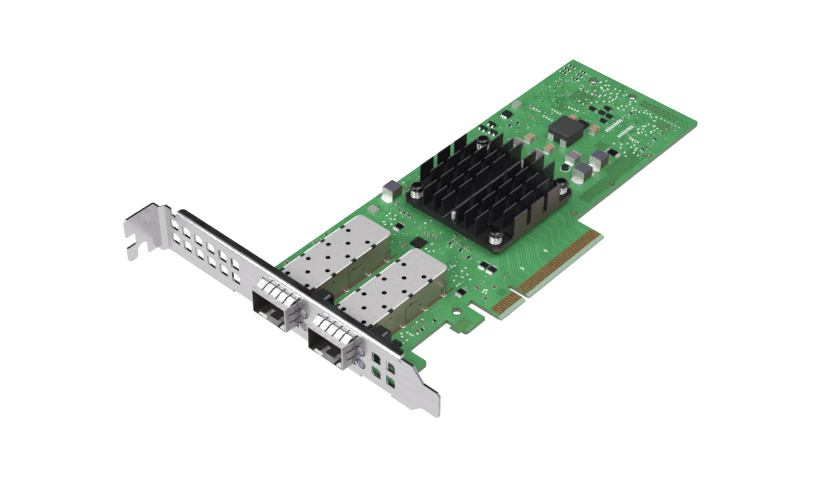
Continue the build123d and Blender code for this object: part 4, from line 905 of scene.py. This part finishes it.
add(tree, "ShaderNodeOutputMaterial", {"Surface": pick.outputs[0]})
mesh = bpy.data.meshes.new("floor")
corners = [(x * floor_half, y * floor_half, floor_z) for x, y in ((-1, -1), (1, -1), (1, 1), (-1, 1))]
mesh.from_pydata(corners, [], [(0, 1, 2, 3)])
mesh.materials.append(floor_finish)
floor = bpy.data.objects.new("floor", mesh)
bpy.context.scene.collection.objects.link(floor)

# Studio surroundings: white for the camera, and a soft grey tent with one dark flag for metal to reflect
flag_way = (0.5665, 0.4926, 0.6606)
flag_rim, flag_core = 0.8, 0.93
world = bpy.data.worlds.new("studio")
bpy.context.scene.world = world
world.use_nodes = True
tree = world.node_tree
tree.nodes.clear()
ray = add(tree, "ShaderNodeLightPath")
way = add(tree, "ShaderNodeTexCoord").outputs["Generated"]
toward = add(tree, "ShaderNodeVectorMath", {0: way, 1: flag_way}, operation="DOT_PRODUCT").outputs["Value"]
flag = {"Value": toward, "From Min": flag_rim, "From Max": flag_core}
flag = add(tree, "ShaderNodeMapRange", flag).outputs[0]
tent = {0: flag, 6: tone("DCDCDE"), 7: tone("0C0C0D")}
tent = add(tree, "ShaderNodeMix", tent, data_type="RGBA").outputs[2]
lit = add(tree, "ShaderNodeBackground", {"Color": tent, "Strength": 0.7})
white = add(tree, "ShaderNodeBackground", {"Color": tone("FFFFFF"), "Strength": 1.0})
pick = {0: ray.outputs["Is Camera Ray"], 1: lit.outputs[0], 2: white.outputs[0]}
pick = add(tree, "ShaderNodeMixShader", pick)
add(tree, "ShaderNodeOutputWorld", {"Surface": pick.outputs[0]})


def lamp(name, place, aim, size, power):
    """Square soft box at place, turned so that it faces aim, in metres and watts."""
    light = bpy.data.lights.new(name, "AREA")
    light.size = size
    light.energy = power
    made = bpy.data.objects.new(name, light)
    away = (np.array(place) - np.array(aim)) / np.linalg.norm(np.array(place) - np.array(aim))
    side = np.cross((0.0, 0.0, 1.0), away)
    side /= np.linalg.norm(side)
    turn = np.column_stack((side, np.cross(away, side), away))
    made.matrix_world = Matrix.Translation(place) @ Matrix(turn.tolist()).to_4x4()
    bpy.context.scene.collection.objects.link(made)


lamp("soft_box_left", (-0.55, 0.25, 0.45), (0.0, 0.03, 0.0), 0.4, 3.2)
lamp("soft_box_high", (0.1, -0.2, 0.8), (0.03, 0.04, 0.0), 0.5, 4.0)
lamp("soft_box_front", (-0.62, -0.52, 0.66), (0.02, 0.03, 0.0), 0.4, 3.0)

# Camera at the photograph's place: its own right, up and backward directions, and where it stands
right = (0.66453415, -0.7471496, 0.0127218)
above = (0.48729175, 0.44619109, 0.7506399)
back = (-0.56651665, -0.49262662, 0.66058905)
eye = (-0.313742, -0.229639, 0.365294)
lens = bpy.data.cameras.new("camera")
lens.sensor_width = 36.0
lens.lens = 75.04
lens.shift_x = -0.0171
lens.shift_y = -0.0039
lens.clip_start = 0.01
camera = bpy.data.objects.new("camera", lens)
turn = Matrix(np.column_stack((right, above, back)).tolist())
camera.matrix_world = Matrix.Translation(eye) @ turn.to_4x4()
bpy.context.scene.collection.objects.link(camera)
bpy.context.scene.camera = camera
bpy.context.scene.view_settings.view_transform = "Standard"
